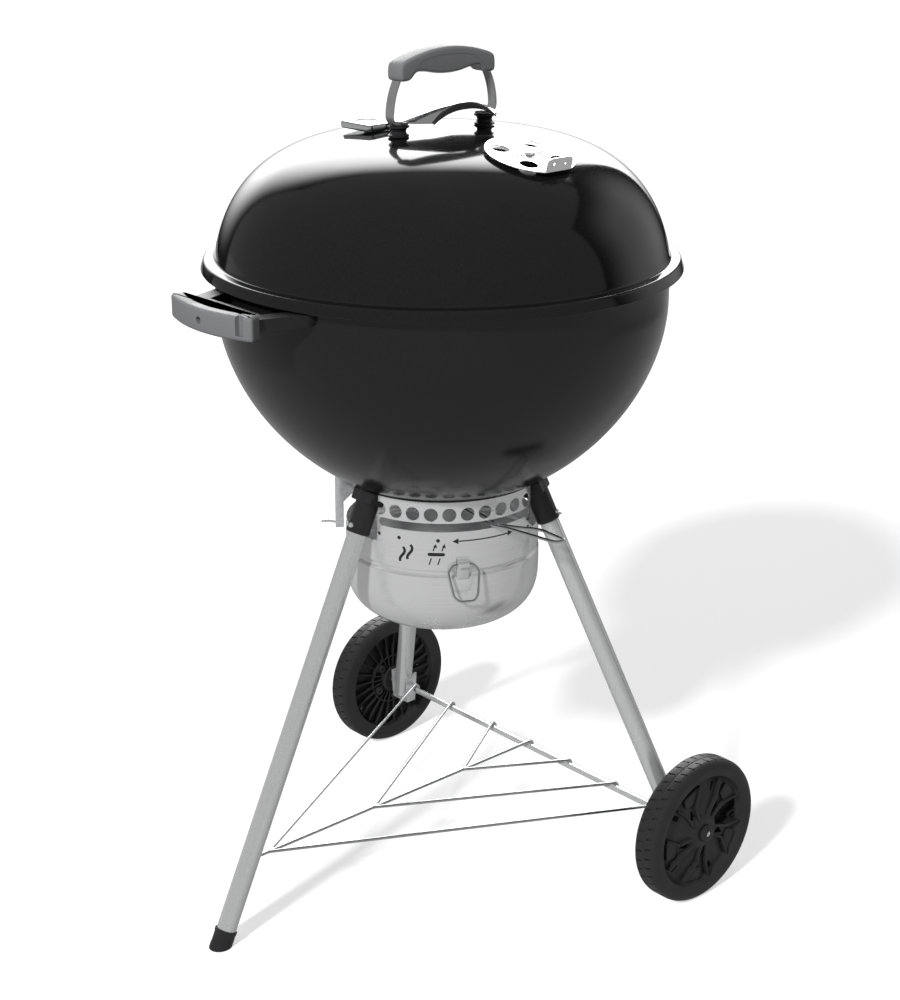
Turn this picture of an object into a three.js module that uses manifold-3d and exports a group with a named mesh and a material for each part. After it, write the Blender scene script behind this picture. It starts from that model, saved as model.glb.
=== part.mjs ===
// Kettle charcoal grill on three legs and two wheels.
// Millimetres, +Z up. The kettle's axis is the Z axis while the pieces are made, the front leg and a
// side handle point to -X, the axle lies along Y on the +X side, and the controls face -Y.
import * as THREE from 'three';
import { mergeVertices } from 'three/addons/utils/BufferGeometryUtils.js';
import Module from 'manifold-3d';

const wasm = await Module();
wasm.setup();

// ---------------------------------------------------------------- driving dimensions
const gap = 0.3;                    // left between pieces that touch

const rimRadius = 300;              // outermost edge of the lid's skirt
const facetRoom = rimRadius / 250;  // more room where a piece lies against a shell's flats
const rimHeight = 832;              // lower edge of the lid's skirt above the floor
const sheet = 1.6;                  // enamelled steel wall of the lid and the bowl
const skirtHeight = 13.5;
const skirtFlare = 4.5;             // how far the skirt leans out from its top to its foot
const lidInset = 10.3;              // lid dome's equator inside the rim radius
const lidSpring = 107.8;            // dome's equator below the rim height
const lidRise = 271.8;
const lidPower = 3.24;              // squareness of the dome's outline
const bowlInset = 16.9;
const bowlSpring = 41.4;            // bowl's equator below the rim height
const bowlDepth = 264.3;
const bowlPower = 1.87;
const bowlFloorRise = 36.7;         // flattened floor above the outline's own lowest point
const lipWidth = 9;                 // bowl's rolled lip beyond its wall
const ventRadius = 19;
const ventCircle = 66;

const damperCentre = 153;           // along the lid from its axis, towards the front
const damperRadius = 54;
const damperSheet = 1.3;
const damperLift = 1;               // disc's underside above the lid at its rivet
const damperHoleRadius = 11;
const damperHoleCircle = 35;
const damperTabChord = 50;
const damperTabHeight = 16.5;
const damperRivetRadius = 3.5;

const lidHandleReach = 70;          // from the lid's axis to each foot
const lidHandleHeight = 101.5;      // top of the grip above the top of the lid
const gripLength = 152;
const gripWidth = 27;
const gripEndHeight = 21;
const spacerHeight = 13;
const spacerRadius = 13;
const strapWidth = 14;
const strapThickness = 2.5;
const strapBow = 13;                // how far each strap leans out past its foot
const shieldWidth = 78;
const shieldRise = 19;
const shieldSheet = 1.2;
const screwRadius = 2.6;
const screwHeadRadius = 5.5;
const screwHeadHeight = 2.6;

const bezelAlong = 58;
const bezelAcross = 40;
const bezelHeight = 9;
const bezelPlace = new THREE.Vector2(-60, 72);
const gaugeRadius = 16;
const probeRadius = 3;
const probeLength = 42;

const sideBarHeight = 29;
const sideBarTop = 5;               // above the lid skirt's lower edge
const sideBarLength = 158;
const sideBarDepth = 17;
const sideBarReach = 70;            // outermost point beyond the rim radius
const sideBarBow = 17;              // how far its middle stands out past its ends
const sideArmHeight = 15;
const sideArmThickness = 11;
const sideArmSpread = 86;
const sideShieldSheet = 1.5;

const legDiameter = 25.4;
const legWall = 1.6;
const legTopRadius = 165;           // centre line from the kettle's axis, at the leg's top height
const legTopDrop = 103;             // legTopHeight below the bowl's floor
const legInsertDrop = 15;           // tubes' ends, inside their sockets, below the bowl's floor
const frontFootRadius = 380;        // centre line of the front leg at the floor
const footCapWall = 1.6;
const footCapLength = 17.5;
const socketLength = 46;
const socketWall = 2.6;
const socketPadWidth = 38;
const buttonRadius = 3.4;
const buttonTravel = 3;

const wheelRadius = 100;
const wheelWidth = 39.5;
const wheelHubRadius = 21;
const wheelBandDepth = 23;          // tyre and rim together, from the tread inwards
const wheelSpokes = 5;
const axleRadius = 4.3;
const axleFromKettle = 167;
const axleLegSpread = 278;          // each wheel leg's centre from the middle of the axle
const wheelFromLeg = 17;            // wheel's inner face outside the leg's centre line
const hubCapRadius = 12;
const hubCapHeight = 6;
const legEndBelowAxle = 17;
const legPlateSheet = 2;

const shelfWire = 2.2;              // radius
const shelfTips = [-299, -123, 39]; // where the three V-shaped wires meet the middle wire
const shelfArms = [250, 168, 78];   // how far along the axle their arms end

const catcherRadius = 128;          // outside of the ash catcher's band
const catcherSheet = 1.3;
const catcherDrop = 4;              // its flange's top below the bowl's floor
const catcherHeight = 94;
const catcherAzimuth = -121;        // middle of the band, between two legs
const catcherSpan = 101;
const flangeWidth = 40;
const airHoleRadius = 8.8;
const airHoleCount = 10;
const airHolePitch = 10.4;          // degrees
const airHoleDrop = 16.5;           // heights on the band, below its top
const leverSlotDrop = 33.5;
const leverSlotWidth = 11.4;
const leverSlotSpan = 97;

const bucketRadius = 127;
const bucketWall = 1.2;
const bucketTopDrop = 62;           // below the band's top
const bucketWallHeight = 57;        // straight part, down to its shoulder
const bucketBellyDepth = 81;        // from its shoulder to its bottom
const bucketPower = 2.9;
const bailWire = 1.6;               // radius
const bailDropHeight = 82;          // bail's pivot below the band's top
const bailWidth = 24;
const bailDrop = 47;
const bailClipWidth = 15;
const bailLean = 14;                // degrees from hanging straight down

const shaftRadius = 4.5;
const shaftBottomDrop = 40;         // below the band's top
const leverWire = 2;                // radius
const leverAzimuth = -101.9;
const bladeReach = 112;
const bladeHeight = 15;
const bladeSheet = 2;

const cookingGrateRoom = 13.1;      // between its ring and the bowl's outline
const cookingGrateDepth = 33;       // centre of its wires below the rim height
const cookingWire = 3;
const cookingPitch = 44;
const charcoalGrateRoom = 14.97;    // between its ring and the inside of the bowl
const charcoalGrateRise = 77;       // centre of its wires above the bowl's floor
const charcoalWire = 4;
const charcoalPitch = 52;
const tabCount = 3;
const tabDrop = 26;
const tabRoom = 1.97;               // between a tab's middle line and the bowl at the tab's foot

const roundSides = 32;              // flats around the lid, the bowl and other large round pieces
const tubeSides = 16;
const wireSides = 6;

// ---------------------------------------------------------------- finishes
function finish(colour, roughness, metalness) {
  return () => new THREE.MeshStandardMaterial({ color: colour, roughness, metalness });
}
const enamel = finish(0x0c0c0d, 0.18, 0);
const nylon = finish(0x66686a, 0.55, 0);
const blackPlastic = finish(0x141415, 0.45, 0);
const aluminium = finish(0xc9cbcd, 0.32, 1);
const polished = finish(0xdadcde, 0.12, 1);
const steel = finish(0xb4b6b8, 0.28, 1);
const wireSteel = finish(0xc2c4c6, 0.24, 1);
const tyrePlastic = finish(0x1a1a1b, 0.6, 0);
const darkSteel = finish(0x3a3b3d, 0.4, 1);
const glass = finish(0xe6e8ea, 0.1, 0);

// ---------------------------------------------------------------- solids
const { degToRad } = THREE.MathUtils;
const fullTurn = Math.PI * 2;

function signedVolume(position, index) {
  const [a, b, c] = [new THREE.Vector3(), new THREE.Vector3(), new THREE.Vector3()];
  let volume = 0;
  for (let i = 0; i < index.length; i += 3) {
    a.fromBufferAttribute(position, index[i]);
    b.fromBufferAttribute(position, index[i + 1]);
    c.fromBufferAttribute(position, index[i + 2]);
    volume += a.dot(b.cross(c)) / 6;
  }
  return volume;
}

// A closed three.js geometry as a solid whose faces point out.
function toSolid(geometry) {
  const bare = geometry.clone();
  bare.deleteAttribute('normal');
  bare.deleteAttribute('uv');
  const merged = mergeVertices(bare, 1e-4);
  const position = merged.getAttribute('position');
  let index = [];
  for (let i = 0; i < merged.index.count; i += 3) {
    const corner = [0, 1, 2].map((step) => merged.index.getX(i + step));
    if (new Set(corner).size === 3) index.push(...corner);
  }
  if (signedVolume(position, index) < 0) index = index.reverse();
  return new wasm.Manifold(new wasm.Mesh({
    numProp: 3,
    vertProperties: Float32Array.from(position.array),
    triVerts: Uint32Array.from(index),
  }));
}

function toGeometry(solid) {
  const mesh = solid.getMesh();
  const geometry = new THREE.BufferGeometry();
  geometry.setAttribute('position', new THREE.BufferAttribute(Float32Array.from(mesh.vertProperties), 3));
  geometry.setIndex(new THREE.BufferAttribute(Uint32Array.from(mesh.triVerts), 1));
  return geometry;
}

function join(...solids) {
  return solids.reduce((whole, next) => whole.add(next));
}

function cut(solid, ...tools) {
  return tools.reduce((rest, tool) => rest.subtract(tool), solid);
}

// Direction (x, y) on the floor plane at an azimuth in degrees.
function polar(radius, azimuth, z = 0) {
  const angle = degToRad(azimuth);
  return new THREE.Vector3(radius * Math.cos(angle), radius * Math.sin(angle), z);
}

// Profile points are [radius, height]; the profile starts and ends on the axis or closes on itself.
function turned(profile, segments = roundSides, place = new THREE.Matrix4()) {
  const points = profile.map(([radius, height]) => new THREE.Vector2(Math.max(radius, 0), height));
  const geometry = new THREE.LatheGeometry(points, segments);
  geometry.rotateX(Math.PI / 2);
  return toSolid(geometry.applyMatrix4(place));
}

function closeLoop(profile) {
  return [...profile, profile[0]];
}

function slab(shape, low, high, place = new THREE.Matrix4(), curveSegments = 12) {
  const geometry = new THREE.ExtrudeGeometry(shape, { depth: high - low, bevelEnabled: false, curveSegments });
  geometry.translate(0, 0, low);
  return toSolid(geometry.applyMatrix4(place));
}

// A shape drawn in (x, z), given a width along Y about y = middle.
function upright(shape, width, middle = 0, curveSegments = 12) {
  const geometry = new THREE.ExtrudeGeometry(shape, { depth: width, bevelEnabled: false, curveSegments });
  geometry.rotateX(Math.PI / 2);
  geometry.translate(0, middle + width / 2, 0);
  return toSolid(geometry);
}

function block(size, centre, place = new THREE.Matrix4()) {
  const geometry = new THREE.BoxGeometry(...size);
  geometry.translate(...centre);
  return toSolid(geometry.applyMatrix4(place));
}

function rod(from, to, radius, sides = 16) {
  const along = to.clone().sub(from);
  const geometry = new THREE.CylinderGeometry(radius, radius, along.length(), sides);
  geometry.applyQuaternion(new THREE.Quaternion().setFromUnitVectors(
    new THREE.Vector3(0, 1, 0), along.clone().normalize()));
  const middle = from.clone().lerp(to, 0.5);
  geometry.translate(middle.x, middle.y, middle.z);
  return toSolid(geometry);
}

// A path whose sections lie exactly at its points.
class Route extends THREE.Curve {
  constructor(points) {
    super();
    this.points = points;
  }

  getPoint(t, target = new THREE.Vector3()) {
    const place = t * (this.points.length - 1);
    const step = Math.min(Math.floor(place), this.points.length - 2);
    return target.lerpVectors(this.points[step], this.points[step + 1], place - step);
  }

  getUtoTmapping(u) {
    return u;
  }
}

// The same corners with each inner one rounded to about the given radius.
function rounded(corners, radius, steps = 3) {
  const points = [corners[0]];
  for (let i = 1; i < corners.length - 1; i += 1) {
    const back = corners[i - 1].clone().sub(corners[i]);
    const ahead = corners[i + 1].clone().sub(corners[i]);
    const reach = Math.min(radius, back.length() * 0.45, ahead.length() * 0.45);
    const arc = new THREE.QuadraticBezierCurve3(
      corners[i].clone().addScaledVector(back.normalize(), reach),
      corners[i],
      corners[i].clone().addScaledVector(ahead.normalize(), reach));
    points.push(...arc.getPoints(steps));
  }
  points.push(corners[corners.length - 1]);
  return points;
}

function wire(points, radius, sides = wireSides) {
  const corners = [];
  for (let i = 0; i < sides; i += 1) {
    const angle = fullTurn * i / sides;
    corners.push(new THREE.Vector2(radius * Math.cos(angle), radius * Math.sin(angle)));
  }
  return toSolid(new THREE.ExtrudeGeometry(new THREE.Shape(corners), {
    steps: points.length - 1,
    extrudePath: new Route(points),
    bevelEnabled: false,
  }));
}

// Outline of a strip of even thickness that follows the points.
function strip(points, thickness) {
  const side = (sign) => points.map((point, i) => {
    const before = points[Math.max(i - 1, 0)];
    const after = points[Math.min(i + 1, points.length - 1)];
    const along = after.clone().sub(before).normalize();
    return new THREE.Vector2(
      point.x - sign * along.y * thickness / 2, point.y + sign * along.x * thickness / 2);
  });
  return new THREE.Shape([...side(1), ...side(-1).reverse()]);
}

function arcStrip(inner, outer, from, to) {
  const shape = new THREE.Shape();
  shape.absarc(0, 0, outer, degToRad(from), degToRad(to), false);
  shape.absarc(0, 0, inner, degToRad(to), degToRad(from), true);
  shape.closePath();
  return shape;
}

// Frame at a point with its Z along the given direction and its X level where it can be.
function frameAt(origin, direction, across) {
  const z = direction.clone().normalize();
  const x = across.clone().addScaledVector(z, -across.dot(z)).normalize();
  const y = z.clone().cross(x);
  return new THREE.Matrix4().makeBasis(x, y, z).setPosition(origin);
}

// ---------------------------------------------------------------- assembly
const grill = new THREE.Group();

function add(name, solid, makeMaterial) {
  const mesh = new THREE.Mesh(toGeometry(solid), makeMaterial());
  mesh.name = name;
  grill.add(mesh);
}

// ---------------------------------------------------------------- lid and bowl outlines
const lidRadius = rimRadius - lidInset;
const lidBase = rimHeight - lidSpring;
const lidTop = lidBase + lidRise;
const bowlRadius = rimRadius - bowlInset;
const bowlEquator = rimHeight - bowlSpring;
const bowlFloor = bowlEquator - bowlDepth + bowlFloorRise;
const legTopHeight = bowlFloor - legTopDrop;
const legInsertHeight = bowlFloor - legInsertDrop;
const catcherTop = bowlFloor - catcherDrop;
const catcherBottom = catcherTop - catcherHeight;
const airHoleHeight = catcherTop - airHoleDrop;
const leverSlotHeight = catcherTop - leverSlotDrop;
const bucketTop = catcherTop - bucketTopDrop;
const bucketShoulder = bucketTop - bucketWallHeight;
const bucketBottom = bucketShoulder - bucketBellyDepth;
const bailHeight = catcherTop - bailDropHeight;
const shaftBottom = catcherTop - shaftBottomDrop;

function domeHeight(radius, wall = 0) {
  const share = Math.min(radius / (lidRadius - wall), 1);
  return lidBase + (lidRise - wall) * (1 - share ** lidPower) ** (1 / lidPower);
}

function domeRadius(height, wall = 0) {
  const share = (height - lidBase) / (lidRise - wall);
  return (lidRadius - wall) * (1 - share ** lidPower) ** (1 / lidPower);
}

function domeSlope(radius) {
  const step = 0.01;
  return (domeHeight(radius + step) - domeHeight(radius - step)) / (2 * step);
}

function bowlHeight(radius, wall = 0) {
  const share = Math.min(radius / (bowlRadius - wall), 1);
  const outline = bowlEquator - (bowlDepth - wall) * (1 - share ** bowlPower) ** (1 / bowlPower);
  return Math.max(outline, bowlFloor + wall);
}

function bowlRadiusAt(height, wall = 0) {
  const share = (bowlEquator - height) / (bowlDepth - wall);
  return (bowlRadius - wall) * (1 - share ** bowlPower) ** (1 / bowlPower);
}

// Points on an outline from its centre outwards, closer together where it turns down.
function outline(heightAt, endRadius, steps) {
  const points = [];
  for (let i = 0; i <= steps; i += 1) {
    const radius = endRadius * Math.sin(Math.PI / 2 * i / steps);
    points.push([radius, heightAt(radius)]);
  }
  return points;
}

const skirtTop = rimHeight + skirtHeight;
const skirtTopRadius = rimRadius - skirtFlare;
const lidFootHeight = skirtTop + 4;
const lidFoot = domeRadius(lidFootHeight);
const damperAxis = new THREE.Vector3(0, domeSlope(damperCentre), 1).normalize();
const damperOrigin = new THREE.Vector3(0, -damperCentre, domeHeight(damperCentre));
const damperFrame = frameAt(damperOrigin, damperAxis, new THREE.Vector3(1, 0, 0));

// ---------------------------------------------------------------- lid
function damperHolePlaces() {
  return [45, 135, 225, 315].map((azimuth) => polar(damperHoleCircle, azimuth));
}

function throughDamper(place, radius, low, high) {
  const from = new THREE.Vector3(place.x, place.y, low).applyMatrix4(damperFrame);
  const to = new THREE.Vector3(place.x, place.y, high).applyMatrix4(damperFrame);
  return rod(from, to, radius, 12);
}

function makeLid() {
  const outside = outline((radius) => domeHeight(radius), lidFoot, 9);
  const inside = outline((radius) => domeHeight(radius, sheet), domeRadius(lidFootHeight, sheet), 6);
  const shell = turned([
    ...outside,
    [lidFoot + 3, skirtTop + 1.2],
    [skirtTopRadius, skirtTop],
    [rimRadius, rimHeight],
    [rimRadius - sheet, rimHeight],
    [skirtTopRadius - sheet, skirtTop - sheet],
    [lidFoot + 1.5, skirtTop - sheet],
    ...inside.reverse(),
  ]);
  const vents = damperHolePlaces().map((place) => throughDamper(place, damperHoleRadius - 1, -14, 6));
  const pivot = throughDamper(new THREE.Vector3(), damperRivetRadius + gap, -8, 8);
  const screws = [-1, 1].map((side) => rod(
    new THREE.Vector3(side * lidHandleReach, 0, lidTop - 12),
    new THREE.Vector3(side * lidHandleReach, 0, lidTop + 6),
    screwRadius + gap, 12));
  const probe = rod(
    new THREE.Vector3(bezelPlace.x, bezelPlace.y, lidTop - 20),
    new THREE.Vector3(bezelPlace.x, bezelPlace.y, lidTop + 6),
    probeRadius + gap, 12);
  return cut(shell, ...vents, pivot, ...screws, probe);
}

function makeDamper() {
  const lift = damperLift;
  const disc = slab(
    new THREE.Shape().absarc(0, 0, damperRadius, 0, fullTurn), lift, lift + damperSheet, damperFrame, 18);
  const beyond = block(
    [2 * damperRadius, damperRadius, 20], [0, -damperTabChord - damperRadius / 2, 0], damperFrame);
  const tabWidth = 2 * Math.sqrt(damperRadius ** 2 - damperTabChord ** 2);
  const tabTop = lift + damperTabHeight;
  const tabShape = new THREE.Shape();
  tabShape.moveTo(-tabWidth / 2, lift);
  tabShape.lineTo(tabWidth / 2, lift);
  tabShape.lineTo(tabWidth / 2, tabTop - 7);
  tabShape.quadraticCurveTo(tabWidth / 2, tabTop, tabWidth / 2 - 7, tabTop);
  tabShape.lineTo(7 - tabWidth / 2, tabTop);
  tabShape.quadraticCurveTo(-tabWidth / 2, tabTop, -tabWidth / 2, tabTop - 7);
  const tabGeometry = new THREE.ExtrudeGeometry(
    tabShape, { depth: damperSheet, bevelEnabled: false, curveSegments: 4 });
  tabGeometry.rotateX(Math.PI / 2);
  tabGeometry.translate(0, -damperTabChord + damperSheet, 0);
  const tab = toSolid(tabGeometry.applyMatrix4(damperFrame));
  const holes = damperHolePlaces().map((place) => throughDamper(place, damperHoleRadius, -5, 12));
  const pivot = throughDamper(new THREE.Vector3(), damperRivetRadius + gap, -5, 12);
  const pinHoles = [-9, 9].map((x) => rod(
    new THREE.Vector3(x, -damperTabChord - 4, lift + 9).applyMatrix4(damperFrame),
    new THREE.Vector3(x, -damperTabChord + 6, lift + 9).applyMatrix4(damperFrame), 1.6, 8));
  return cut(join(cut(disc, beyond), tab), ...holes, pivot, ...pinHoles);
}

function makeDamperRivet() {
  const top = damperLift + damperSheet + gap;
  const under = -sheet - 3 * facetRoom;
  return turned([
    [0, under - 2], [damperRivetRadius + 3, under - 2], [damperRivetRadius + 3, under],
    [damperRivetRadius, under], [damperRivetRadius, top], [damperRivetRadius + 3.5, top],
    [damperRivetRadius + 2.6, top + 1.8], [0, top + 2.4],
  ], 16, damperFrame);
}

const spacerTop = lidTop + spacerHeight;
const strapFoot = spacerTop + gap;

function makeSpacer(side) {
  const low = domeHeight(lidHandleReach - spacerRadius) + gap;
  const place = new THREE.Matrix4().makeTranslation(side * lidHandleReach, 0, 0);
  return turned(closeLoop([
    [screwRadius + gap, low], [spacerRadius, low], [spacerRadius - 3.5, low + 3],
    [spacerRadius - 3.5, spacerTop - 3], [spacerRadius, spacerTop], [screwRadius + gap, spacerTop],
  ]), 12, place);
}

const gripTop = lidTop + lidHandleHeight;
const gripUnderside = gripTop - gripEndHeight - 14;
const strapTop = gripUnderside + 6;

function strapPath(side) {
  const foot = strapFoot + strapThickness / 2;
  const out = lidHandleReach + strapBow;
  const corners = [
    [lidHandleReach - 8, foot], [out - 4, foot], [out, foot + 6], [out, foot + 14],
    [out - 2.5, foot + 28], [out - 8, foot + 42], [lidHandleReach - 2, strapTop],
  ];
  return corners.map(([x, z]) => new THREE.Vector2(side * x, z));
}

function makeStrap(side) {
  const strap = upright(strip(strapPath(side), strapThickness), strapWidth);
  const hole = rod(
    new THREE.Vector3(side * lidHandleReach, 0, spacerTop - 2),
    new THREE.Vector3(side * lidHandleReach, 0, strapFoot + 6), screwRadius + gap, 12);
  return cut(strap, hole);
}

function makeLidGrip() {
  const half = gripLength / 2;
  const shoulder = gripUnderside + gripEndHeight;
  const shape = new THREE.Shape();
  shape.moveTo(-half, gripUnderside + 3);
  shape.lineTo(-half, shoulder - 6);
  shape.quadraticCurveTo(-half, shoulder, -half + 8, shoulder + 1.5);
  shape.quadraticCurveTo(0, 2 * gripTop - shoulder - 1.5, half - 8, shoulder + 1.5);
  shape.quadraticCurveTo(half, shoulder, half, shoulder - 6);
  shape.lineTo(half, gripUnderside + 3);
  shape.quadraticCurveTo(half, gripUnderside, half - 4, gripUnderside);
  shape.lineTo(half - 16, gripUnderside - 1);
  shape.quadraticCurveTo(half - 26, gripUnderside + 12, half - 40, gripUnderside + 8);
  shape.quadraticCurveTo(0, gripUnderside - 1, 40 - half, gripUnderside + 8);
  shape.quadraticCurveTo(26 - half, gripUnderside + 12, 16 - half, gripUnderside - 1);
  shape.lineTo(4 - half, gripUnderside);
  shape.quadraticCurveTo(-half, gripUnderside, -half, gripUnderside + 3);
  const grip = upright(shape, gripWidth, 0, 5);
  const pockets = [-1, 1].map((side) => upright(
    strip(strapPath(side).slice(-3), strapThickness + 2 * gap + 0.4), strapWidth + 2 * gap));
  const ends = [-1, 1].map((side) => block(
    [strapThickness + 5, strapWidth + 2 * gap, 6], [side * (lidHandleReach - 2.5), 0, strapTop - 2]));
  return cut(grip, ...pockets, ...ends);
}

function makeHeatShield() {
  const half = lidHandleReach - 12;
  const low = strapFoot + strapThickness + gap + shieldSheet / 2;
  const points = [];
  for (let i = 0; i <= 12; i += 1) {
    const share = i / 12;
    points.push(new THREE.Vector2(
      half * (2 * share - 1), low + shieldRise * Math.sin(Math.PI * share)));
  }
  return upright(strip(points, shieldSheet), shieldWidth);
}

function makeHandleScrew(side) {
  const place = new THREE.Matrix4().makeTranslation(side * lidHandleReach, 0, 0);
  const seat = domeHeight(lidHandleReach + screwHeadRadius, sheet) - gap - facetRoom;
  return turned([
    [0, seat - screwHeadHeight], [screwHeadRadius, seat - screwHeadHeight], [screwHeadRadius, seat],
    [screwRadius, seat], [screwRadius, spacerTop + 1.5], [0, spacerTop + 1.5],
  ], 12, place);
}

const bezelSeat = domeHeight(bezelPlace.length() - bezelAlong / 2) + gap;

function bezelOutline() {
  const [halfX, halfY, round] = [bezelAcross / 2, bezelAlong / 2, 8];
  const shape = new THREE.Shape();
  shape.moveTo(round - halfX, -halfY);
  shape.lineTo(halfX - round, -halfY);
  shape.quadraticCurveTo(halfX, -halfY, halfX, round - halfY);
  shape.lineTo(halfX, halfY - round);
  shape.quadraticCurveTo(halfX, halfY, halfX - round, halfY);
  shape.lineTo(round - halfX, halfY);
  shape.quadraticCurveTo(-halfX, halfY, -halfX, halfY - round);
  shape.lineTo(-halfX, round - halfY);
  shape.quadraticCurveTo(-halfX, -halfY, round - halfX, -halfY);
  return shape;
}

function makeBezel() {
  const place = new THREE.Matrix4().makeTranslation(bezelPlace.x, bezelPlace.y, 0);
  const body = slab(bezelOutline(), bezelSeat, bezelSeat + bezelHeight, place, 4);
  const well = turned(
    [[0, bezelSeat + 3], [gaugeRadius + gap, bezelSeat + 3], [gaugeRadius + gap, bezelSeat + 20],
      [0, bezelSeat + 20]], 18, place);
  const stem = turned(
    [[0, bezelSeat - 5], [probeRadius + gap, bezelSeat - 5], [probeRadius + gap, bezelSeat + 5],
      [0, bezelSeat + 5]], 12, place);
  return cut(body, well, stem);
}

function makeGauge() {
  const place = new THREE.Matrix4().makeTranslation(bezelPlace.x, bezelPlace.y, 0);
  const low = bezelSeat + 3 + gap;
  return turned([
    [0, low - probeLength], [probeRadius, low - probeLength], [probeRadius, low], [gaugeRadius, low],
    [gaugeRadius, low + 5], [gaugeRadius - 2, low + 6.5], [0, low + 6.5],
  ], 18, place);
}

function makeLidHook() {
  const azimuth = 150;
  const top = domeHeight(domeRadius(rimHeight + 90, sheet), sheet) - 4;
  const near = domeRadius(top, sheet) - gap - 3;
  return wire(rounded([
    polar(near - 4, azimuth - 2, top), polar(near, azimuth - 1, top - 8), polar(near, azimuth, top - 34),
    polar(near - 14, azimuth, top - 46), polar(near - 24, azimuth, top - 36),
  ], 8, 3), 2.2);
}

// ---------------------------------------------------------------- bowl
const lipTop = skirtTop - sheet - gap;
const lipRadius = bowlRadius + lipWidth;

function makeBowl() {
  const outside = outline((radius) => bowlHeight(radius), bowlRadius, 9);
  const inside = outline((radius) => bowlHeight(radius, sheet), bowlRadius - sheet, 7);
  const shell = turned([
    ...outside,
    [bowlRadius, lipTop - 12],
    [lipRadius, lipTop - 8],
    [lipRadius, lipTop],
    [bowlRadius + 2, lipTop],
    [bowlRadius - sheet, lipTop - 4],
    ...inside.reverse(),
  ]);
  const vents = [0, 1, 2].map((i) => {
    const place = polar(ventCircle, 30 + 120 * i);
    return rod(place.clone().setZ(bowlFloor - 10), place.clone().setZ(bowlFloor + 20), ventRadius, 16);
  });
  const bore = rod(
    new THREE.Vector3(0, 0, bowlFloor - 10), new THREE.Vector3(0, 0, bowlFloor + 10), shaftRadius + gap, 12);
  return cut(shell, ...vents, bore);
}

// The space that the bowl fills, a little larger, to trim whatever seats against it.
const bowlSpace = turned([
  ...outline((radius) => bowlHeight(radius), bowlRadius, 9)
    .map(([radius, height]) => [radius > 0 ? radius + gap : 0, height - gap]),
  [bowlRadius + gap, lipTop], [0, lipTop],
]);

function makeGrateTab(azimuth) {
  const top = rimHeight - cookingGrateDepth - cookingWire - gap;
  const foot = Math.min(top - tabDrop, bowlEquator);
  const wall = bowlRadiusAt(foot, sheet) - tabRoom - 2 * facetRoom;
  const place = new THREE.Matrix4().makeRotationZ(degToRad(azimuth));
  const shape = strip([
    new THREE.Vector2(wall, top - tabDrop), new THREE.Vector2(wall, top - 1),
    new THREE.Vector2(wall - 16, top - 1),
  ], 2);
  const geometry = new THREE.ExtrudeGeometry(shape, { depth: 14, bevelEnabled: false });
  geometry.rotateX(Math.PI / 2);
  geometry.translate(0, 7, 0);
  return toSolid(geometry.applyMatrix4(place));
}

function makeGrate(radius, height, wireRadius, pitch) {
  const ring = new THREE.TorusGeometry(radius - wireRadius, wireRadius, wireSides, roundSides);
  ring.translate(0, 0, height);
  let grate = toSolid(ring);
  const inner = radius - wireRadius;
  const count = Math.floor((inner - pitch / 2) / pitch);
  for (let i = -count; i <= count; i += 1) {
    const half = Math.sqrt(inner ** 2 - (i * pitch) ** 2);
    grate = grate.add(rod(
      new THREE.Vector3(-half, i * pitch, height), new THREE.Vector3(half, i * pitch, height), wireRadius, 5));
  }
  for (const x of [-0.45 * radius, 0.45 * radius]) {
    const half = Math.sqrt(inner ** 2 - x ** 2) - 2;
    const low = height - 1.4 * wireRadius;
    grate = grate.add(rod(
      new THREE.Vector3(x, -half, low), new THREE.Vector3(x, half, low), wireRadius * 0.9, 5));
  }
  return grate;
}

function makeBlades() {
  const rest = bowlFloor + sheet + gap;
  const hub = turned(closeLoop([
    [shaftRadius + gap, rest], [shaftRadius + 8, rest], [shaftRadius + 8, rest + 9],
    [shaftRadius + gap, rest + 9],
  ]), 16);
  let blades = hub;
  for (let i = 0; i < 3; i += 1) {
    const shape = new THREE.Shape();
    const low = (radius) => bowlHeight(radius, sheet) + gap + 2 * facetRoom;
    shape.moveTo(shaftRadius + 3, low(shaftRadius + 3));
    for (let step = 1; step <= 5; step += 1) {
      const radius = shaftRadius + 3 + (bladeReach - shaftRadius - 3) * step / 5;
      shape.lineTo(radius, low(radius));
    }
    shape.lineTo(bladeReach, low(bladeReach) + bladeHeight);
    shape.lineTo(shaftRadius + 3, rest + 8);
    const geometry = new THREE.ExtrudeGeometry(shape, { depth: bladeSheet, bevelEnabled: false });
    geometry.rotateX(Math.PI / 2);
    geometry.translate(0, bladeSheet / 2, 0);
    geometry.rotateZ(degToRad(90 + 120 * i));
    blades = blades.add(toSolid(geometry));
  }
  return blades;
}

function makeShaft() {
  const top = bowlFloor + sheet + gap + 9;
  return turned([
    [0, shaftBottom], [shaftRadius + 5, shaftBottom], [shaftRadius + 5, shaftBottom + 2.5],
    [shaftRadius, shaftBottom + 2.5], [shaftRadius, top + gap], [shaftRadius + 4, top + gap],
    [shaftRadius + 4, top + 5], [0, top + 5],
  ], 16);
}

function makeLever() {
  const height = leverSlotHeight - 0.5;
  const hub = turned(closeLoop([
    [shaftRadius + gap, height - 3], [shaftRadius + 7, height - 3], [shaftRadius + 7, height + 3],
    [shaftRadius + gap, height + 3],
  ]), 16);
  const near = polar(1, leverAzimuth - 90);
  const corner = (radius, azimuth, side, half) => polar(radius, azimuth, height).addScaledVector(near, side * half);
  const half = 4.5;
  const path = [
    corner(shaftRadius + 4, leverAzimuth, 1, half), corner(catcherRadius + 4, leverAzimuth, 1, half),
    corner(184, -93.5, 1, 8), corner(225, -91.5, 1, 7.5), corner(225, -91.5, -1, 7.5),
    corner(178, -91, -1, 7), corner(catcherRadius + 4, leverAzimuth, -1, half),
    corner(shaftRadius + 4, leverAzimuth, -1, half),
  ];
  return join(hub, wire(rounded(path, 7, 3), leverWire));
}

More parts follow.
